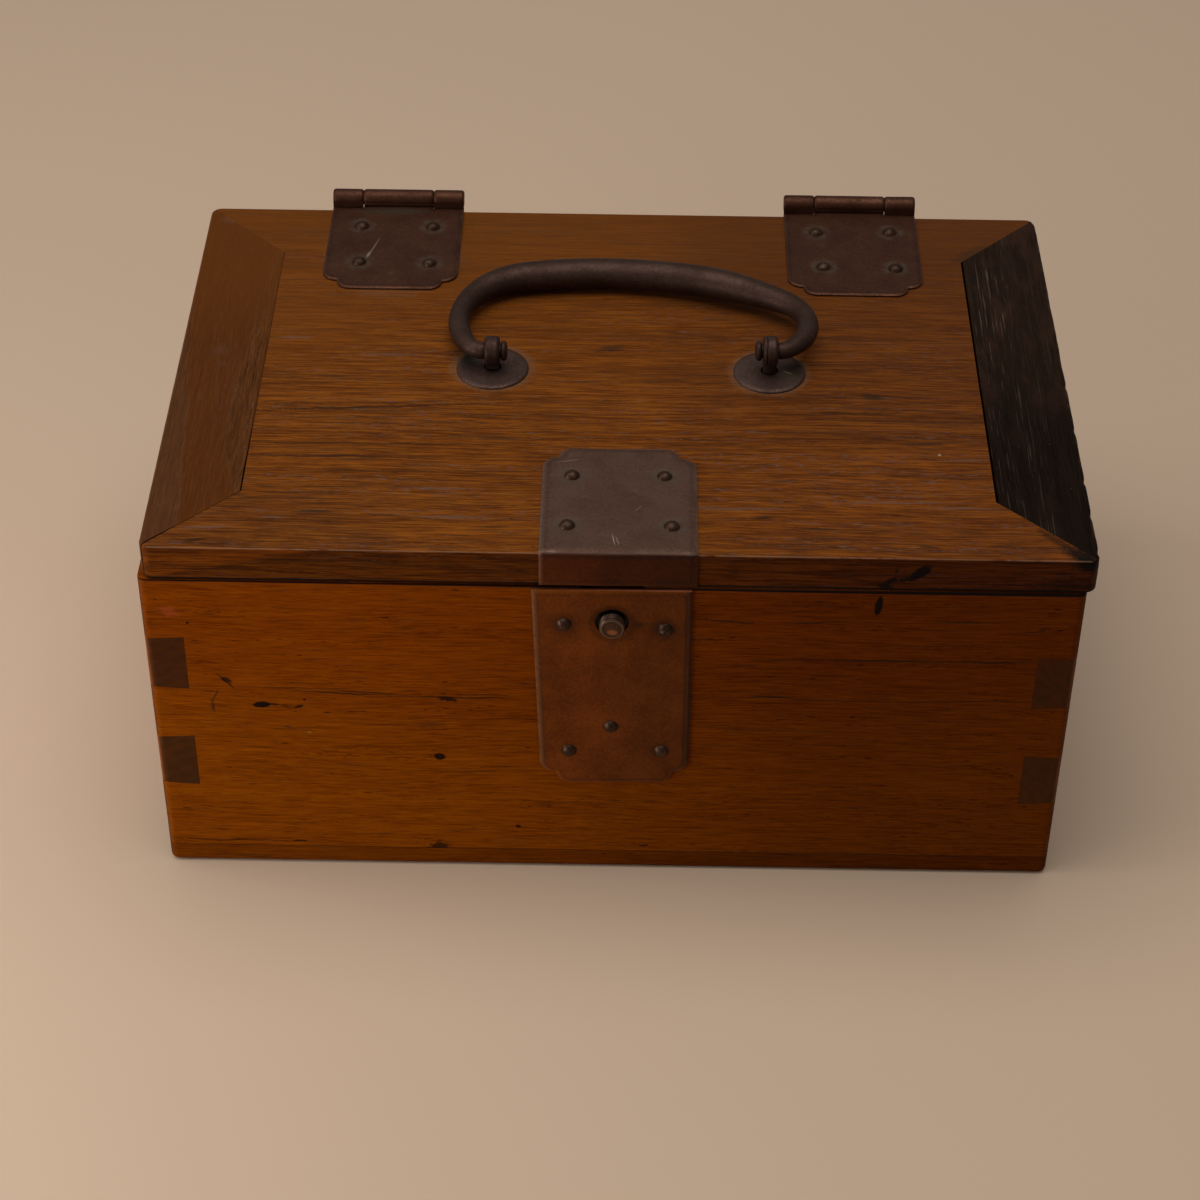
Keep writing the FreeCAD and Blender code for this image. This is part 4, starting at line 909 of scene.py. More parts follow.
LID_TOP_MARKS = [
    (-1.1, 10.4, 3.2, 1.4, 8, BROWN_MARK, 0.55, 0.6, 0.9),
    (-2.6, 9.4, 5.4, 0.35, 2, CRACK, 0.6, 0.5, 0.7),
    (69.0, -10.7, 2.6, 1.2, -8, BROWN_MARK, 0.75, 0.5, 0.8),
    (67.5, -10.2, 6.0, 0.3, 0, CRACK, 0.6, 0.5, 0.8),
    (85.3, -35.9, 0.4, 0.35, 0, colour(0.36, 0.28, 0.20), 0.7, 0.5, 0.0),
    (-64.0, -18.5, 32.0, 0.45, 4, CRACK, 0.75, 0.5, 1.2),
    (-62.0, -16.4, 28.0, 0.35, 3, CRACK, 0.5, 0.5, 1.3),
    (-64.0, -34.8, 32.0, 0.36, 0.5, CRACK, 0.7, 0.5, 0.8),
    (-76.0, -40.5, 18.0, 0.4, 0, CRACK, 0.75, 0.5, 0.9),
    (-58.0, -46.0, 25.0, 0.3, 0, CRACK, 0.35, 0.5, 0.8),
    (-77.0, -56.0, 14.0, 0.34, 0.5, CRACK, 0.6, 0.5, 0.9),
    (-76.4, -63.7, 4.5, 0.5, 0, BROWN_MARK, 0.8, 0.4, 0.6),
    (-45.0, -53.6, 9.0, 0.45, 0, LAVENDER, 0.5, 0.5, 1.6),
    (-41.0, -65.4, 9.0, 0.5, 0, LAVENDER, 0.5, 0.5, 1.6),
    (-86.3, -66.5, 3.0, 0.45, 0, LAVENDER, 0.5, 0.5, 1.6),
    (-103.0, -71.1, 6.0, 0.5, 5, LAVENDER, 0.5, 0.5, 1.6),
    (-88.4, 13.3, 4.5, 0.5, 0, LAVENDER, 0.5, 0.5, 1.6),
    (-62.0, 5.7, 8.0, 0.5, 0, LAVENDER, 0.5, 0.5, 1.6),
    (92.2, -38.2, 7.0, 0.4, 0, LAVENDER, 0.5, 0.5, 1.6),
    (88.8, -58.6, 9.0, 0.45, 0, LAVENDER, 0.5, 0.5, 1.6),
    (31.9, -60.0, 12.0, 0.5, 1, LAVENDER, 0.5, 0.5, 1.6),
    (70.9, -56.4, 13.0, 0.45, 1, LAVENDER, 0.5, 0.5, 1.6),
    (37.9, -63.8, 2.4, 0.4, 0, CRACK, 0.85, 0.4, 0.5),
    (52.8, -68.0, 4.6, 0.45, 0, BROWN_MARK, 0.8, 0.4, 0.7),
    (81.4, -31.6, 5.5, 0.4, 0, BROWN_MARK, 0.75, 0.4, 0.7),
    (62.0, -18.3, 12.0, 0.4, 1, CRACK, 0.7, 0.5, 1.0),
    (79.3, -74.3, 2.6, 0.4, -6, BROWN_MARK, 0.75, 0.5, 0.8),
    (-105.0, -76.0, 2.6, 0.5, 8, CRACK, 0.8, 0.5, 0.7),
    (118.2, -77.2, 5.0, 2.6, -30, INK_AND_SHADOW, 0.9, 0.5, 0.8),
    (111.5, -70.6, 5.0, 1.3, -45, INK_AND_SHADOW, 0.6, 0.6, 1.0),
    (101.0, 60.0, 7.0, 1.6, 45, BROWN_MARK, 0.5, 0.7, 1.0),
    (-33.4, 0.4, 11.4, 11.2, 0, PALE_HALO, 0.45, 0.1, 0.25),
    (41.7, 0.0, 11.2, 11.0, 0, PALE_HALO, 0.4, 0.1, 0.25),
    (-64.4, 57.0, 20.0, 23.5, 0, PALE_HALO, 0.22, 0.06, 0.2),
]
LID_EDGE_MARKS = [
    (119.5, 109.6, 4.2, 2.2, 0, INK_AND_SHADOW, 0.85, 0.6, 1.0),
    (116.0, 102.6, 8.0, 1.4, 0, INK_AND_SHADOW, 0.5, 0.7, 1.2),
    (77.4, 106.4, 3.5, 1.5, -42, INK_AND_SHADOW, 0.95, 0.25, 0.6),
    (74.0, 104.2, 3.0, 0.7, -12, INK_AND_SHADOW, 0.85, 0.4, 1.2),
    (71.6, 107.0, 0.35, 1.0, 18, INK_AND_SHADOW, 0.7, 0.5, 0.6),
    (70.4, 103.6, 1.9, 0.75, -35, INK_AND_SHADOW, 0.9, 0.3, 0.8),
    (69.2, 101.9, 1.9, 1.0, 10, INK_AND_SHADOW, 0.9, 0.4, 1.0),
]
LEFT_CAP_MARKS = [
    (-108.0, 6.5, 2.2, 2.4, 0, colour(0.10, 0.055, 0.033), 0.22, 0.8, 1.6),
    (-107.0, 0.5, 1.0, 1.2, 0, colour(0.10, 0.055, 0.033), 0.2, 0.8, 1.4),
    (-110.0, 73.0, 4.5, 2.0, 0, colour(0.125, 0.068, 0.042), 0.45, 0.7, 1.4),
]


def upright(rows, y):
    return [((x, y, z), (dx, 3, dz), (0, turn, 0), *rest) for x, z, dx, dz, turn, *rest in rows]


def level(rows, z):
    return [((x, y, z), (dx, dy, 3), (0, 0, turn), *rest) for x, y, dx, dy, turn, *rest in rows]


def wood_paints():
    honey = (colour(0.070, 0.0190, 0.0036), colour(0.132, 0.0355, 0.0046), colour(0.205, 0.059, 0.0060))
    deep = (colour(0.115, 0.023, 0.0006), colour(0.200, 0.0455, 0.0008), colour(0.262, 0.066, 0.001))
    brown = (colour(0.040, 0.013, 0.0035), colour(0.072, 0.0225, 0.0055), colour(0.108, 0.037, 0.010))
    black = (colour(0.0066, 0.0037, 0.0027), colour(0.0140, 0.0070, 0.0043), colour(0.0240, 0.0120, 0.0072))
    inside = (colour(0.10, 0.045, 0.018), colour(0.17, 0.085, 0.036), colour(0.25, 0.135, 0.062))
    case = (CASE_LOW, CASE_HIGH)
    lid = (LID_LOW, LID_HIGH)
    pale_edge = rubbed_edges(colour(0.28, 0.15, 0.09), 0.5, 0.6, 0.28, LID_FLARE, LID_TOP - 3)
    dull_edge = rubbed_edges(colour(0.13, 0.046, 0.016), 1.8, 0.45, 0.36, 0.0, -1.0, CASE_TOP - 1.1)
    cap_edge = rubbed_edges(colour(0.050, 0.027, 0.016), 1.4, 0.5, 0.45, LID_FLARE)
    plain = {"hair": 0.85, "streak": 0.3, "broad": 0.22, "lines": 0.6, "flecks": 0.8, "pores": 0.0, "coarse": 1.5}
    return {
        "front": wood(
            "front wood", "x", deep, case, 0.02, plain, upright(FRONT_MARKS, CASE_FRONT), board_tone_and_painted_shade, dull_edge
        ),
        "back": wood("back wood", "x", deep, case, 0.08, {**plain, "seed": 3.0}, (), board_tone_and_painted_shade, dull_edge),
        "left": wood("left wood", "y", deep, case, 0.08, {**plain, "seed": 5.0}, (), board_tone_and_painted_shade, dull_edge),
        "right": wood("right wood", "y", deep, case, 0.08, {**plain, "seed": 8.0}, (), board_tone_and_painted_shade, dull_edge),
        "bottom": wood("bottom wood", "x", deep, case, 0.02, {**plain, "seed": 11.0}, (), board_tone_and_painted_shade, None),
        "lid": wood(
            "lid wood", "x", honey, lid, 0.035,
            {"hair": 1.15, "streak": 0.5, "broad": 0.45, "lines": 0.6, "flecks": 0.6, "pores": 0.75,
             "seed": 2.0, "bands": 0.55, "coarse": 2.0},
            level(LID_TOP_MARKS, LID_TOP) + upright(LID_EDGE_MARKS, CASE_FRONT),
            duller_to_the_back, pale_edge,
        ),
        "left_cap": wood(
            "left cap wood", "y", brown, lid, 0.04,
            {"hair": 1.0, "streak": 0.5, "broad": 0.2, "lines": 0.3, "flecks": 0.4, "pores": 0.45, "seed": 6.0,
             "coarse": 1.5},
            level(LEFT_CAP_MARKS, LID_TOP), banded_cap, rubbed_edges(colour(0.16, 0.085, 0.045), 0.6, 0.5, 0.4),
        ),
        "right_cap": wood(
            "right cap wood", "y", black, lid, 0.045,
            {"hair": 0.6, "streak": 0.5, "broad": 0.3, "lines": 0.0, "flecks": 0.0, "pores": 0.0, "seed": 9.0,
             "end": 0.7},
            (), fine_light_streaks, cap_edge,
        ),
        "pegs": wood("peg wood", "x", inside, case, 0.2, {"seed": 4.0}),
    }


# Metal fittings
def turned_front(paint):
    """1 on the faces to the front."""
    return paint.fade(paint.split(paint.facing)[1], -0.35, -0.85)


def flange_painted_light(paint, base):
    """Painted shade makes the part bent down over the lid's edge redder and darker, more so to the right, with a
    painted highlight along the bend and painted shade just under it.
    """
    x, _, z = paint.split(paint.place)
    # Painted shade: faces to the front darker and redder than the top, more so to the right
    along = paint.fade(x, -18.0, 14.0)
    shade = paint.mix(along, colour(0.81, 0.33, 0.03), colour(0.52, 0.22, 0.035))
    base = paint.mix(turned_front(paint), base, paint.mix(1.0, base, shade, "MULTIPLY"))
    # Painted highlight along the bend
    bend_painted_highlight = paint.math("MULTIPLY", paint.fade(z, LID_TOP + 0.2, LID_TOP + 0.7), turned_front(paint))
    bend_painted_highlight = paint.math("MULTIPLY", bend_painted_highlight, paint.fade(z, LID_TOP + 1.2, LID_TOP + 0.9))
    base = paint.mix(paint.math("MULTIPLY", bend_painted_highlight, 0.7), base, colour(0.15, 0.112, 0.100))
    # Painted shade just under the bend
    shadow = paint.math("MULTIPLY", paint.fade(z, LID_TOP + 0.2, LID_TOP - 0.1), turned_front(paint))
    shadow = paint.math("MULTIPLY", shadow, paint.fade(z, LID_TOP - 1.1, LID_TOP - 0.5))
    base = paint.mix(paint.math("MULTIPLY", shadow, 0.45), base, colour(0.020, 0.010, 0.008))
    left = paint.fade(x, LID_PLATE_CENTRE - LID_PLATE_HALF + 1.1, LID_PLATE_CENTRE - LID_PLATE_HALF + 0.3)
    return paint.mix(paint.math("MULTIPLY", left, 0.35), base, colour(0.105, 0.072, 0.052))


def lock_tone_and_painted_light(paint, base):
    """Painted light: lighter to the left, with a lit tan left bevel, a shaded dark right one and a painted red
    highlight along the upper edge.
    """
    x, _, z = paint.split(paint.place)
    cloud = paint.math("MULTIPLY", paint.math("SUBTRACT", paint.noise(paint.place, 0.06, 2, 0.5), 0.5), 26.0)
    # Painted shade: darker to the right
    right = paint.fade(paint.math("ADD", x, cloud), -12.0, 16.0)
    base = paint.mix(right, base, paint.mix(1.0, base, colour(0.72, 0.74, 0.9), "MULTIPLY"))
    across = paint.math("SUBTRACT", x, LOCK_CENTRE)
    lean = paint.math("MULTIPLY", paint.math("SUBTRACT", z, LOCK_TOP - LOCK_HEIGHT / 2), math.sin(LOCK_TILT))
    across = paint.math("SUBTRACT", across, lean)
    half = paint.add("MapRange", {0: z, 1: LOCK_TOP - LOCK_HEIGHT + 8, 2: LOCK_TOP, 3: LOCK_HALF, 4: LOCK_HALF + LOCK_FLARE})
    from_left = paint.math("ADD", half, across)
    from_right = paint.math("SUBTRACT", half, across)
    # Painted light on the left bevel, painted shade on the right bevel and its edge
    base = paint.mix(paint.fade(from_left, 1.7, 1.0, 0.0, 0.65), base, colour(0.125, 0.055, 0.024))
    base = paint.mix(paint.fade(from_right, 1.9, 1.3, 0.0, 0.6), base, colour(0.055, 0.020, 0.008))
    base = paint.mix(paint.fade(from_right, 0.7, 0.3, 0.0, 0.8), base, colour(0.016, 0.007, 0.004))
    # Painted highlight along the upper edge
    base = paint.mix(paint.fade(z, LOCK_TOP - 0.5, LOCK_TOP - 0.25, 0.0, 0.85), base, colour(0.22, 0.06, 0.022))
    return base


def button_painted_light(paint, base):
    """The button has a painted shadow that makes it black down in its hole, dark grooves round its barrel and a painted
    highlight low on its face.
    """
    x, y, z = paint.split(paint.place)
    groove = paint.fade(paint.math("SINE", paint.math("MULTIPLY", y, 11.4)), 0.2, 0.75)
    centre = (BUTTON_X, 0.0, BUTTON_Z)
    away = paint.vector("LENGTH", paint.vector("MULTIPLY", paint.vector("SUBTRACT", paint.place, centre), (1, 0, 1)), output=1)
    barrel = paint.fade(away, 2.9, 3.15)
    base = paint.mix(paint.math("MULTIPLY", paint.math("MULTIPLY", groove, barrel), 0.75), base, colour(0.010, 0.005, 0.004))
    ring = paint.math("MULTIPLY", paint.fade(away, 1.9, 2.15), paint.fade(away, 2.45, 2.3))
    base = paint.mix(paint.math("MULTIPLY", ring, 0.6), base, colour(0.014, 0.007, 0.005))
    edge = paint.math("MULTIPLY", paint.fade(away, 2.45, 2.65), paint.fade(away, 3.2, 3.0))
    base = paint.mix(paint.math("MULTIPLY", edge, 0.55), base, colour(0.16, 0.11, 0.08))
    # Painted highlight low on the face
    copper = paint.spot(paint.place, (BUTTON_X + 0.1, CASE_FRONT - 3.4, BUTTON_Z - 1.1), (1.3, 3.0, 0.8), (0, 8, 0))
    base = paint.mix(paint.fade(copper, 1.5, 0.4, 0.0, 0.7), base, colour(0.34, 0.12, 0.045))
    # Painted shadow: black down in the hole
    return paint.mix(paint.fade(y, CASE_FRONT - 1.3, CASE_FRONT - 0.7), base, colour(0.004, 0.003, 0.003))


def metal_paints():
    plate = (colour(0.037, 0.0115, 0.0044), colour(0.058, 0.0190, 0.0082), colour(0.084, 0.0315, 0.0150))
    red = (colour(0.108, 0.0240, 0.0008), colour(0.150, 0.0355, 0.0015), colour(0.195, 0.0490, 0.0032))
    grey = (colour(0.066, 0.031, 0.019), colour(0.090, 0.0445, 0.0285), colour(0.116, 0.061, 0.042))
    nail = (colour(0.024, 0.0100, 0.0050), colour(0.042, 0.0190, 0.0100), colour(0.072, 0.0370, 0.0220))
    smooth = (colour(0.029, 0.0128, 0.0078), colour(0.043, 0.0203, 0.0132), colour(0.062, 0.0325, 0.0230))
    worn = (colour(0.038, 0.0180, 0.0130), colour(0.061, 0.0320, 0.0240), colour(0.090, 0.0530, 0.0410))
    turned = (colour(0.032, 0.0140, 0.0070), colour(0.055, 0.0245, 0.0130), colour(0.088, 0.0440, 0.0260))
    spring = (colour(0.16, 0.10, 0.05), colour(0.30, 0.20, 0.10), colour(0.42, 0.30, 0.17))
    iron = (colour(0.05, 0.045, 0.04), colour(0.10, 0.09, 0.08), colour(0.18, 0.165, 0.15))
    pale = colour(0.36, 0.29, 0.23)
    top = LID_TOP + 1.0
    scratches = [
        ((0.3, CASE_FRONT + 4.6, top), (0.13, 2.1, 2.0), (0, 0, 9), pale, 0.75, 0.5),
        ((1.3, CASE_FRONT + 4.1, top), (0.11, 1.7, 2.0), (0, 0, 14), pale, 0.6, 0.5),
        ((-11.6, CASE_FRONT + 37.0, top), (2.6, 0.12, 2.0), (0, 0, 12), pale, 0.4, 0.5),
        ((6.5, CASE_FRONT + 17.5, top), (0.10, 1.5, 2.0), (0, 0, -35), pale, 0.35, 0.5),
    ]
    smudge = colour(0.020, 0.009, 0.005)
    smudges = [
        ((x, CASE_FRONT - 1.1, CASE_TOP - y), (reach, 3.0, reach), (0, 0, 0), smudge, amount, 0.55)
        for x, y, reach, amount in (
            (-12.1, 11.9, 3.6, 0.45), (13.8, 13.2, 3.2, 0.5), (7.2, 11.8, 1.1, 0.5), (0.4, 18.2, 1.0, 0.3),
            (13.6, 55.5, 2.9, 0.3), (0.2, 11.0, 5.6, 0.35),
        )
    ]
    leaf_scratches = [
        ((-70.2, 57.3, LID_TOP + 0.9), (0.20, 4.6, 2.0), (0, 0, -16), pale, 0.4, 0.7),
        ((-71.3, 54.0, LID_TOP + 0.9), (0.40, 1.4, 2.0), (0, 0, -16), pale, 0.5, 0.7),
    ]
    green = colour(0.088, 0.066, 0.044)
    verdigris = colour(0.055, 0.060, 0.045)
    leaf_scratches.append(((-66.0, LID_BACK - 2.0, LID_TOP + 0.9), (8.5, 1.7, 2.0), (0, 0, 0), verdigris, 0.4, 0.7))
    leaf_scratches.append(((-64.4, LID_BACK - 34.8, LID_TOP + 0.9), (0.9, 0.8, 2.0), (0, 0, 20), green, 0.3, 0.7))
    washer_stains = [
        ((-40.0, 4.0, LID_TOP + 0.8), (4.0, 3.0, 2.0), (0, 0, 35), verdigris, 0.5, 0.8),
        ((45.5, -1.5, LID_TOP + 0.8), (3.0, 1.6, 2.0), (0, 0, -30), colour(0.10, 0.085, 0.055), 0.5, 0.8),
        ((46.5, -1.0, LID_TOP + 0.8), (1.3, 0.25, 2.0), (0, 0, -30), colour(0.36, 0.23, 0.10), 0.6, 0.5),
    ]
    return {
        "plate": metal("plate copper", plate, seed=1.0, marks=leaf_scratches, halo=green, edge=0.3),
        "lid_plate": metal(
            "lid plate copper", grey, seed=2.0, scratches=0.55, extra=flange_painted_light, marks=scratches, halo=green
        ),
        "lock": metal(
            "lock copper", red, (0.5, 0.62), seed=3.0, scratches=0.12, extra=lock_tone_and_painted_light, marks=smudges
        ),
        "nail": metal("nail copper", nail, (0.34, 0.5), seed=4.0, scratches=0.1),
        "handle": metal("handle copper", smooth, (0.48, 0.6), seed=5.0, scratches=0.12),
        "washer": metal("washer copper", worn, (0.42, 0.58), seed=6.0, scratches=0.3, marks=washer_stains),
        "button": metal("button copper", turned, (0.3, 0.45), seed=7.0, scratches=0.2, extra=button_painted_light),
        "spring": metal("spring metal", spring, (0.25, 0.4), 0.9, 8.0, 0.2),
        "iron": metal("pin iron", iron, (0.35, 0.6), 0.9, 9.0, 0.1),
    }


LEAF_HALF = 19.1
LEAF_REACH = 41.8
LEAF_THICKNESS = 0.9
MIDDLE_HALF = 10.2
KNUCKLE = 2.5
LID_LEAF_NAILS = {
    "left": [(-9.9, 10.1), (10.7, 10.1), (-9.2, 28.9), (10.8, 29.1)],
    "right": [(-10.1, 10.1), (11.3, 9.5), (-8.7, 28.1), (11.8, 28.4)],
}
CASE_LEAF_NAILS = [(-10.4, 8.6), (-10.4, 27.2), (10.4, 8.6), (10.4, 27.2)]


def add_plate(name, sheet, mapping, material, body, replaced, extra=()):
    """A sheet set in place, with the pieces that are part of it."""
    points, faces, fields = sheet
    placed = [tuple(mapping(*point)) for point in points]
    more_points, more_faces = joined([(placed, faces)] + list(extra))
    spare = [0.0] * (len(more_points) - len(placed))
    fields = {key: values + spare for key, values in fields.items()}
    return add_object(name, more_points, more_faces, material, body, replaced, 40, fields)


def make_hinges(paints):
    up = (0, 0, 1)
    for side, hinge_x in HINGE_X.items():
        seed = 1.0 if side == "left" else 2.0
        nails = LID_LEAF_NAILS[side]
        near_end = [
            (-LEAF_HALF, 0), (-MIDDLE_HALF, 0), (-MIDDLE_HALF, -KNUCKLE),
            (MIDDLE_HALF, -KNUCKLE), (MIDDLE_HALF, 0), (LEAF_HALF, 0),
        ]
        pits = [(0.0, 34.8, 0.9, 0.2)] if side == "left" else [(-3.0, 35.0, 0.8, 0.12)]
        sheet = plate_sheet(
            lobed_outline(LEAF_HALF, LEAF_REACH, near_end), LEAF_THICKNESS,
            [(-x, y) for x, y in nails], seed=seed, pits=pits,
        )
        roll = hinge_roll(hinge_x, -MIDDLE_HALF, MIDDLE_HALF, seed, math.radians(200))
        add_plate(
            f"lid_leaf_{side}_sheet", sheet, lambda u, v, w: (hinge_x - u, LID_BACK - v, LID_TOP + w),
            paints["plate"], "lid", (f"lid_leaf_{side}",), [roll],
        )
        inner = MIDDLE_HALF + 0.1
        notch = HINGE_Z - (LID_TOP - 0.3)
        near_end = [
            (-LEAF_HALF, 0), (-inner, 0), (-inner, notch), (inner, notch), (inner, 0), (LEAF_HALF, 0),
        ]
        rise = HINGE_Z - CASE_TOP
        sheet = plate_sheet(
            lobed_outline(LEAF_HALF, LEAF_REACH + rise, near_end), LEAF_THICKNESS,
            [(x, y + rise) for x, y in CASE_LEAF_NAILS], seed=seed + 4,
        )
        rolls = [
            hinge_roll(hinge_x, -LEAF_HALF, -inner, seed + 6, math.radians(-30)),
            hinge_roll(hinge_x, inner, LEAF_HALF, seed + 8, math.radians(-30)),
        ]
        add_plate(
            f"case_leaf_{side}_sheet", sheet, lambda u, v, w: (hinge_x - u, CASE_BACK + w, HINGE_Z - v),
            paints["plate"], "case", (f"case_leaf_{side}",), rolls,
        )
    places = [
        (HINGE_X[side] + x, LID_BACK - y, LID_TOP + LEAF_THICKNESS - 0.1)
        for side in HINGE_X for x, y in LID_LEAF_NAILS[side]
    ]
    add_nails("lid_leaf_nails", places, up, 10.0, paints, "lid")
    places = [
        (hinge_x + x, CASE_BACK + LEAF_THICKNESS - 0.1, CASE_TOP - y)
        for hinge_x in HINGE_X.values() for x, y in CASE_LEAF_NAILS
    ]
    add_nails("case_leaf_nails", places, (0, 1, 0), 20.0, paints, "case")


def add_nails(node, places, outward, seed, paints, body, cracked=()):
    domes = [
        nail_dome(place, outward, seed + index, crack=1.0 if index in cracked else 0.0)
        for index, place in enumerate(places)
    ]
    points, faces = joined(domes)
    add_object(node + "_domes", points, faces, paints["nail"], body, (node,), 50)


LID_PLATE_CENTRE = 1.55
LID_PLATE_HALF = 19.95
LID_PLATE_REACH = 43.0
LID_PLATE_NAILS = [(-12.8, 10.2), (13.7, 10.3), (-12.0, 30.9), (11.9, 30.9)]
LOCK_CENTRE = 0.7
LOCK_HALF = 19.7
LOCK_FLARE = 0.65
LOCK_HEIGHT = 67.1
LOCK_TOP = CASE_TOP - 0.4
LOCK_TILT = math.radians(-1.2)
LOCK_NAILS = [(-12.1, 11.9), (13.8, 13.2), (-10.7, 55.7), (13.6, 55.5)]
BUTTON_Z = CASE_TOP - 11.4
RIVET_Z = CASE_TOP - 47.0


def make_lid_plate(paints):
    """Bent over the lid's front edge."""
    bend = 1.3
    flange = LID_TOP - LID_LOW[2] - 0.4
    near_end = [(-LID_PLATE_HALF, -bend - flange), (LID_PLATE_HALF, -bend - flange)]
    shift = LID_MIDDLE - LID_PLATE_CENTRE
    sheet = plate_sheet(
        lobed_outline(LID_PLATE_HALF, LID_PLATE_REACH, near_end), 1.0,
        [(x + shift, y) for x, y in LID_PLATE_NAILS], seed=12.0, bevel=(1.5, 0.45), waves=0.12,
        pits=[(-9.0, 21.5, 0.7, 0.1), (4.0, 24.0, 0.8, 0.08), (-4.0, 6.0, 0.6, 0.1)],
    )

    def mapping(u, v, w):
        x = LID_PLATE_CENTRE + u
        if v >= 0:
            return x, CASE_FRONT + v, LID_TOP + w
        turn = min(1.0, -v / bend) * math.pi / 2
        fall = max(0.0, -v - bend)
        return x, CASE_FRONT - w * math.sin(turn), LID_TOP + w * math.cos(turn) - fall

    add_plate(
        "lid_plate_sheet", sheet, mapping, paints["lid_plate"], "lid", ("lid_plate",)
    )
    places = [(LID_MIDDLE + x, CASE_FRONT + y, LID_TOP + 0.9) for x, y in LID_PLATE_NAILS]
    add_nails("lid_plate_nails", places, (0, 0, 1), 30.0, paints, "lid")


def make_lock_plate(paints):
    middle_z = LOCK_TOP - LOCK_HEIGHT / 2

    def spread(u, v):
        rise = LOCK_HEIGHT / 2 - v
        x = LOCK_CENTRE + u * math.cos(LOCK_TILT) + rise * math.sin(LOCK_TILT)
        return x, middle_z - u * math.sin(LOCK_TILT) + rise * math.cos(LOCK_TILT)

    def local(x, z):
        across, rise = x - LOCK_CENTRE, z - middle_z
        u = across * math.cos(LOCK_TILT) - rise * math.sin(LOCK_TILT)
        return u, LOCK_HEIGHT / 2 - (across * math.sin(LOCK_TILT) + rise * math.cos(LOCK_TILT))

    def top_edge(u):
        half = LOCK_HEIGHT / 2
        return max(0.0, half - (half + u * math.sin(LOCK_TILT)) / math.cos(LOCK_TILT))

    wide = LOCK_HALF + LOCK_FLARE
    near_end = [(-wide, top_edge(-wide)), (wide, top_edge(wide))]
    hole_x, hole_y = local(BUTTON_X, BUTTON_Z)
    hole = arc_points(hole_x, hole_y, 4.3, 360, 10, 35)
    nails = [local(x, CASE_TOP - y) for x, y in LOCK_NAILS] + [local(BUTTON_X, RIVET_Z)]
    sheet = plate_sheet(
        lobed_outline(LOCK_HALF, LOCK_HEIGHT, near_end), 1.1, nails, [hole], 15.0, (1.3, 0.45), 0.12,
        pits=[(-3.0, 30.0, 1.3, 0.22), (6.0, 20.0, 1.2, 0.22), (8.0, 41.0, 1.5, 0.15), (-8.0, 42.0, 1.2, 0.12)],
    )

    def mapping(u, v, w):
        x, z = spread(u, v)
        return x, CASE_FRONT - w, min(z, LOCK_TOP)

    add_plate(
        "lock_plate_sheet", sheet, mapping, paints["lock"], "case", ("lock_plate",)
    )
    places = [(x, CASE_FRONT - 1.0, CASE_TOP - y) for x, y in LOCK_NAILS]
    add_nails("lock_plate_nails", places, (0, -1, 0), 40.0, paints, "case", (1,))
    dome = nail_dome((BUTTON_X, CASE_FRONT - 1.0, RIVET_Z), (0, -1, 0), 52.0, 2.0)
    profile = [(-0.9, 0.05), (-0.9, 1.2), (0.8, 1.2), (0.85, 1.95), (1.35, 1.9), (1.5, 1.5), (1.5, 0.05)]
    stem, stem_faces = revolved(profile, 28)
    stem = [(BUTTON_X + y, CASE_FRONT + x, RIVET_Z + z) for x, y, z in stem]
    points, faces = joined([dome, (stem, stem_faces)])
    add_object("spring_rivet_dome", points, faces, paints["nail"], "case", ("spring_rivet",), 50)


def make_button(paints):
    """A turned button with ridges on its barrel and a rubbed rim round a hollowed face."""
    tip = CASE_FRONT - 1.1 - 2.3
    back = CASE_FRONT + 2.85
    profile = [(0.16, 0.05), (0.15, 0.9), (0.12, 1.7), (0.04, 2.3), (0.0, 2.65), (0.04, 2.95), (0.2, 3.2), (0.42, 3.33)]
    for ridge in (0.75, 1.3, 1.85, 2.4):
        profile += [(ridge, 3.22), (ridge + 0.14, 3.19), (ridge + 0.28, 3.33), (ridge + 0.4, 3.35)]
    flange = CASE_FRONT + 0.05 - tip
    profile += [(flange, 3.35), (flange, 4.9), (flange + 0.1, 5.0), (flange + 0.8, 5.0), (flange + 0.9, 4.9)]
    profile += [(flange + 0.9, 3.35), (back - tip, 3.3), (back - tip, 0.05)]

    def uneven(along, angle, radius):
        if radius > 4:
            return 1.0
        return 1.0 - 0.012 - 0.012 * noise.noise(Vector((math.cos(angle) * 1.5, math.sin(angle) * 1.5, along)))

    points, faces = revolved(profile, 64, uneven=uneven)
    points = [(BUTTON_X + y, tip + x, BUTTON_Z + z) for x, y, z in points]
    add_object("push_button_turned", points, faces, paints["button"], "button", ("push_button",), 40)


# Handle
HANDLE_X = 4.15
HANDLE_Y = -0.2
EYE_SPACING = 75.1
EYE_LIFT = 1.3
EYE_BORE = 2.1
EYE_OUTER = 4.1
STRAP_WIDTH = 4.1
EYE_RISE = 6.6
EYE_Z = LID_TOP + EYE_RISE
BAIL_START = 0.3
BAIL_END = 2.3
BAIL_SIDE = 2.9
BAIL_CROWN = 4.35
BAIL_GAP = 0.15
SLOPE = EYE_LIFT / EYE_SPACING


def arc_travel(radius, heading, turn):
    after = heading - turn
    return radius * (math.sin(heading) - math.sin(after)), radius * (math.cos(after) - math.cos(heading))


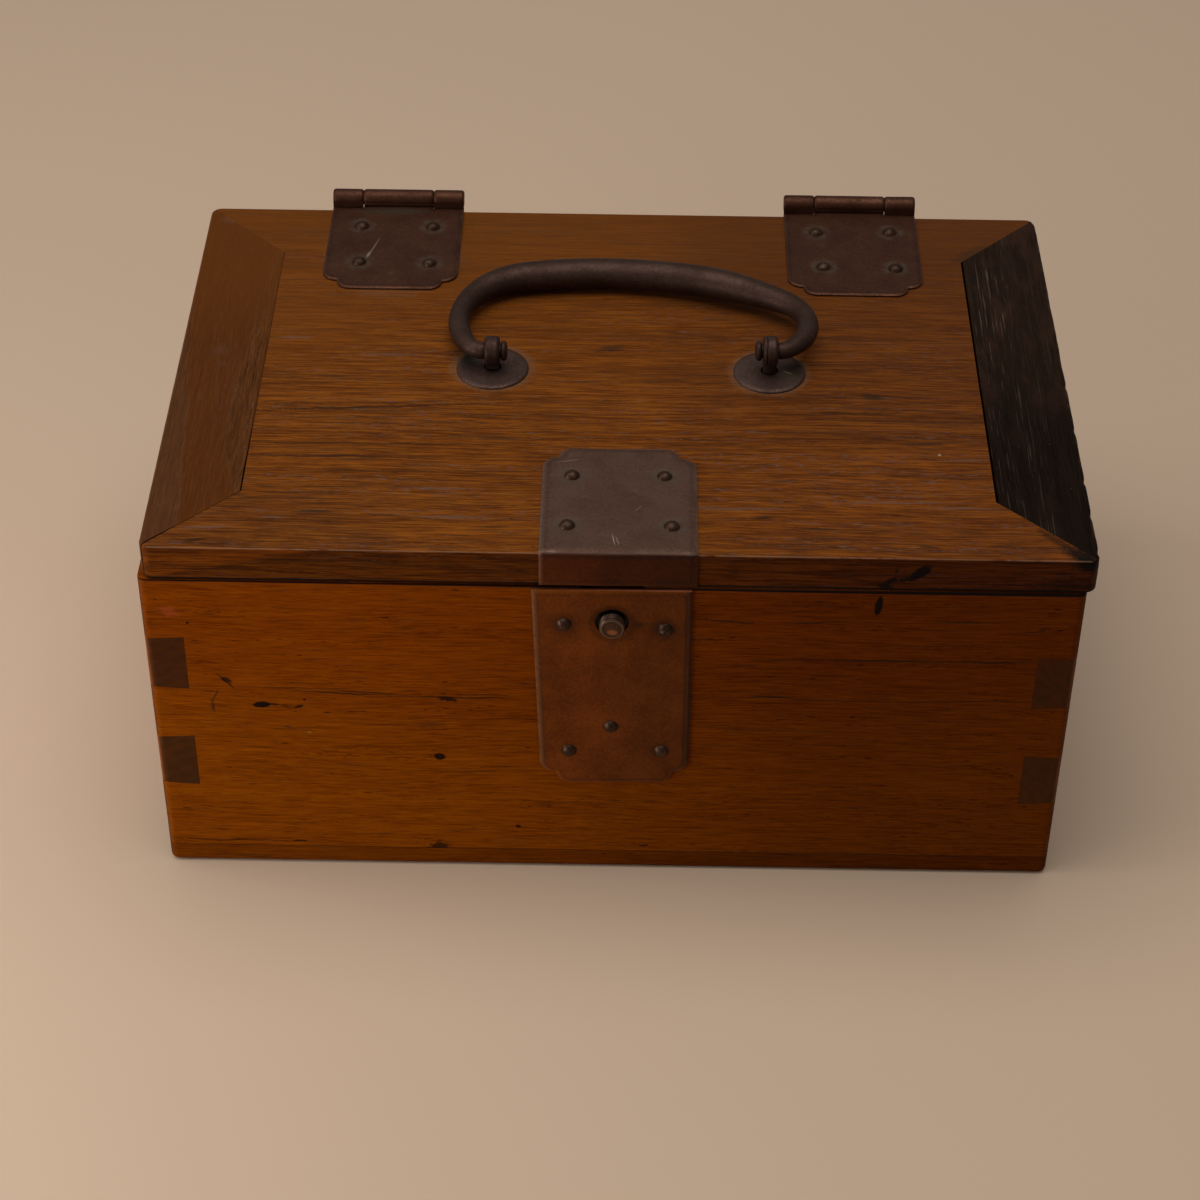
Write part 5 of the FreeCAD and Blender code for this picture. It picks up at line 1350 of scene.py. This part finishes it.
def bail_bends():
    """Radius and turn of each bend; the crown's and the slope's radii follow so that the bail closes."""
    bends = [(4.6, 60.0), (26.0, 61.0), (20.6, 48.0), (None, 24.5), (None, 22.5), (15.2, 104.0)]
    bends.append((4.5, 360 - sum(turn for _, turn in bends)))
    missing = Vector((EYE_SPACING + STRAP_WIDTH + 2 * BAIL_START, 0))
    heading = math.pi
    open_steps = []
    for radius, turn in bends:
        step = Vector(arc_travel(radius or 1.0, heading, math.radians(turn)))
        if radius is None:
            open_steps.append(step)
        else:
            missing -= step
        heading -= math.radians(turn)
    first, second = open_steps
    share = first.x * second.y - second.x * first.y
    bends[3] = ((missing.x * second.y - second.x * missing.y) / share, 24.5)
    bends[4] = ((first.x * missing.y - missing.x * first.y) / share, 22.5)
    return bends


def smooth_step(value, start, end):
    share = min(1.0, max(0.0, (value - start) / (end - start)))
    return share * share * (3 - 2 * share)


def bail_radius(progress):
    from_end = 2 * min(progress, 1 - progress)
    radius = BAIL_END + (BAIL_SIDE - BAIL_END) * smooth_step(from_end, 0.0, 0.16)
    return radius + (BAIL_CROWN - BAIL_SIDE) * smooth_step(from_end, 0.25, 0.7)


def bail_path():
    """The bar's centre line in its own plane, and its radius, from the left elbow to the right one."""
    here = Vector((-(EYE_SPACING / 2 + STRAP_WIDTH / 2 + BAIL_START), 0))
    heading = math.pi
    run = 0.0
    rows = [(here.copy(), run)]
    for radius, turn in bail_bends():
        steps = max(6, math.ceil(turn / 4))
        step = math.radians(turn / steps)
        for _ in range(steps):
            here = here + Vector(arc_travel(radius, heading, step))
            heading -= step
            run += radius * step
            rows.append((here.copy(), run))
    return [(point.x, point.y, bail_radius(at / run)) for point, at in rows]


def make_bail(paints):
    rows = bail_path()
    lean = min((EYE_RISE + x * SLOPE - radius - BAIL_GAP) / y for x, y, radius in rows if y > EYE_OUTER)
    inner = EYE_SPACING / 2 - STRAP_WIDTH / 2 - 0.25
    outer = EYE_SPACING / 2 + STRAP_WIDTH / 2 + 0.25
    knob = [(1.8, 0.06), (1.78, 1.5), (1.62, 2.15), (1.3, 2.6), (0.9, 2.78), (0.55, 2.74), (0.2, 2.5), (0.02, 2.1)]
    pin = [(inner + 0.01, 2.0), ((inner + outer) / 2, 2.0), (outer - 0.02, 2.0), (outer + 0.01, 2.27)]
    ends = [(inner - offset, radius) for offset, radius in knob] + pin
    left = [(Vector((-x, 0, 0)), radius) for x, radius in ends]
    right = [(Vector((x, 0, 0)), radius) for x, radius in ends]
    bar = [(Vector((x, y, 0)), radius) for x, y, radius in rows]
    whole = left + bar + right[::-1]
    turn = Matrix.Rotation(math.atan(SLOPE) * -1, 3, "Y") @ Matrix.Rotation(-math.asin(lean), 3, "X")
    place = Vector((HANDLE_X, HANDLE_Y, EYE_Z))

    def uneven(point, angle):
        if abs(point.y) < 1.0:
            return 1.0
        slow = noise.noise(Vector((point.x * 0.09, point.y * 0.09, math.cos(angle) * 0.8)))
        return 0.994 + 0.012 * slow

    points, faces = tube([p for p, _ in whole], [r for _, r in whole], 36, uneven)
    points = [tuple(turn @ Vector(p) + place) for p in points]
    add_object("handle_bail_bar", points, faces, paints["handle"], "bail", ("handle_bail",), 50)


def eased_box(x0, x1, y0, y1, z0, z1, ease, taper=1.0):
    """A block with chamfered upright edges; its top is taper times as wide."""
    points, faces = [], []
    for z, share in ((z0, taper), (z0 + ease, 1.0), (z1, 1.0)):
        middle_x, middle_y = (x0 + x1) / 2, (y0 + y1) / 2
        half_x, half_y = (x1 - x0) / 2 * share, (y1 - y0) / 2 * share
        e = ease
        ring = [
            (-half_x, -half_y + e), (-half_x + e, -half_y), (half_x - e, -half_y), (half_x, -half_y + e),
            (half_x, half_y - e), (half_x - e, half_y), (-half_x + e, half_y), (-half_x, half_y - e),
        ]
        points += [(middle_x + x, middle_y + y, z) for x, y in ring]
    return points, rings_to_faces(3, 8, False)


def make_eyes(paints):
    half = STRAP_WIDTH / 2
    split = {"left": None, "right": -0.7}
    axis_turn = Matrix.Rotation(-math.atan(SLOPE), 3, "Y")
    for side, sign in (("left", -1), ("right", 1)):
        centre = Vector((HANDLE_X + sign * EYE_SPACING / 2, HANDLE_Y, EYE_Z + sign * EYE_LIFT / 2))
        outer = []
        for i in range(17):
            along = -half + STRAP_WIDTH * i / 16
            edge = half - abs(along)
            drop = 0.75 * (1 - min(1.0, edge / 0.9)) ** 2
            if split[side] is not None:
                drop += 0.4 * max(0.0, 1 - abs(along - split[side]) / 0.22)
            outer.append((along, EYE_OUTER - 0.02 - drop))
        profile = [(-half, EYE_BORE + 0.25), (-half + 0.2, EYE_BORE), (half - 0.2, EYE_BORE), (half, EYE_BORE + 0.25)]
        profile = profile + outer[::-1]

        def uneven(along, angle, radius):
            if radius < 2.6:
                return 1.0
            bumpy = noise.noise(Vector((along * 0.3, math.cos(angle) * 1.2, math.sin(angle) * 1.2 + sign * 3)))
            return 0.992 + 0.014 * bumpy

        loop, loop_faces = revolved(profile, 56, True, uneven)
        loop = [tuple(axis_turn @ Vector(p) + centre) for p in loop]
        low = LID_LOW[2] - 1.3
        legs = []
        for way in (-1, 1):
            y0, y1 = sorted((HANDLE_Y + way * 0.06, HANDLE_Y + way * 1.3))
            legs.append(eased_box(centre.x - 1.8, centre.x + 1.8, y0, y1, low + 0.3, centre.z - EYE_BORE - 0.3, 0.18))
            y0, y1 = sorted((HANDLE_Y + way * 0.06, HANDLE_Y + way * 11.9))
            legs.append(eased_box(centre.x - 1.8, centre.x + 1.8, y0, y1, low, LID_LOW[2] - 0.02, 0.3))
        points, faces = joined([(loop, loop_faces)] + legs)
        add_object(
            f"handle_eye_{side}_strap", points, faces, paints["handle"], "lid",
            (f"handle_eye_{side}",), 45,
        )
        make_washer(side, centre, sign, paints)


def make_washer(side, centre, sign, paints):
    """A slightly dished washer with a rubbed rim."""
    bore = 2.35
    profile = [(0.0, bore), (0.86, bore), (0.88, bore + 0.3)]
    profile += [(0.86 - 0.16 * (r / 9.85) ** 2, r) for r in (3.5, 4.6, 5.7, 6.8, 7.9, 8.7)]
    profile += [(0.62, 9.2), (0.5, 9.55), (0.3, 9.78), (0.1, 9.83), (0.0, 9.8)]

    def uneven(along, angle, radius):
        if radius < 8:
            return 1.0
        return 0.995 + 0.008 * noise.noise(Vector((math.cos(angle) * 1.6, math.sin(angle) * 1.6, sign * 4.0)))

    points, faces = revolved(profile, 72, True, uneven)
    dented = []
    for x, y, z in points:
        lift = 0.05 * noise.noise(Vector((y * 0.18, z * 0.18, sign * 2.5))) if x > 0.15 else 0.0
        dented.append((centre.x + y, HANDLE_Y + z, LID_TOP + max(0.0, x + lift)))
    add_object(
        f"washer_{side}_disc", dented, faces, paints["washer"], "lid", (f"washer_{side}",), 45
    )


def make_fittings():
    paints = metal_paints()
    make_hinges(paints)
    make_lid_plate(paints)
    make_lock_plate(paints)
    make_button(paints)
    make_bail(paints)
    make_eyes(paints)
    kept = {
        "catch_tongue": "plate", "latch_spring": "spring", "hinge_pin_left": "iron", "hinge_pin_right": "iron",
    }
    for node, paint in kept.items():
        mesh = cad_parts[node].data
        mesh.materials.clear()
        mesh.materials.append(paints[paint])


# Camera, floor and lights
def make_camera():
    data = bpy.data.cameras.new("camera")
    data.lens = CAMERA_LENS
    data.sensor_width = SENSOR_WIDTH
    data.sensor_fit = "HORIZONTAL"
    data.clip_start = 0.01
    camera = bpy.data.objects.new("camera", data)
    camera.location = CAMERA_PLACE
    camera.rotation_euler = [math.radians(angle) for angle in CAMERA_TURN]
    bpy.context.scene.collection.objects.link(camera)
    bpy.context.scene.camera = camera


def make_area_light(name, place, aim, size, power, shade):
    data = bpy.data.lights.new(name, "AREA")
    data.shape = "DISK"
    data.size = size
    data.energy = power
    data.color = shade
    light = bpy.data.objects.new(name, data)
    light.location = place
    toward = Vector(place) - Vector(aim)
    light.rotation_euler = toward.to_track_quat("Z", "Y").to_euler()
    bpy.context.scene.collection.objects.link(light)


def make_stage():
    paint = Paint("floor", 0.9, specular=0.1)
    paint.finish(FLOOR_COLOUR)
    bpy.ops.mesh.primitive_plane_add(size=8, location=(0, 0, 0))
    floor = bpy.context.object
    floor.name = "floor"
    floor.data.materials.append(paint.material)
    world = bpy.data.worlds.new("world")
    bpy.context.scene.world = world
    world.use_nodes = True
    background = world.node_tree.nodes["Background"]
    background.inputs["Color"].default_value = WORLD_COLOUR
    background.inputs["Strength"].default_value = WORLD_STRENGTH
    make_area_light("overhead", (0, 0, 1.6), (0, 0, 0), 1.5, 16, (1.0, 0.99, 0.97))
    make_area_light("high_left", (-1.1, 0, 1.2), (0, 0, 0.05), 0.8, 4.5, (1.0, 0.99, 0.97))
    make_area_light("side_left", (-0.5, -0.14, 0.22), (0, -0.08, 0.05), 0.15, 0.3, (1.0, 0.98, 0.95))
    make_area_light("low_left", (-0.45, -0.25, 0.2), (0, -0.05, 0.05), 0.2, 0.3, (1.0, 0.98, 0.95))
    make_area_light("front_left", (-0.4, -0.35, 0.12), (0, -0.08, 0.05), 0.2, 0.6, (1.0, 0.98, 0.95))


make_camera()
make_stage()
make_wooden_pieces()
make_fittings()
bpy.context.scene.view_settings.view_transform = "Standard"
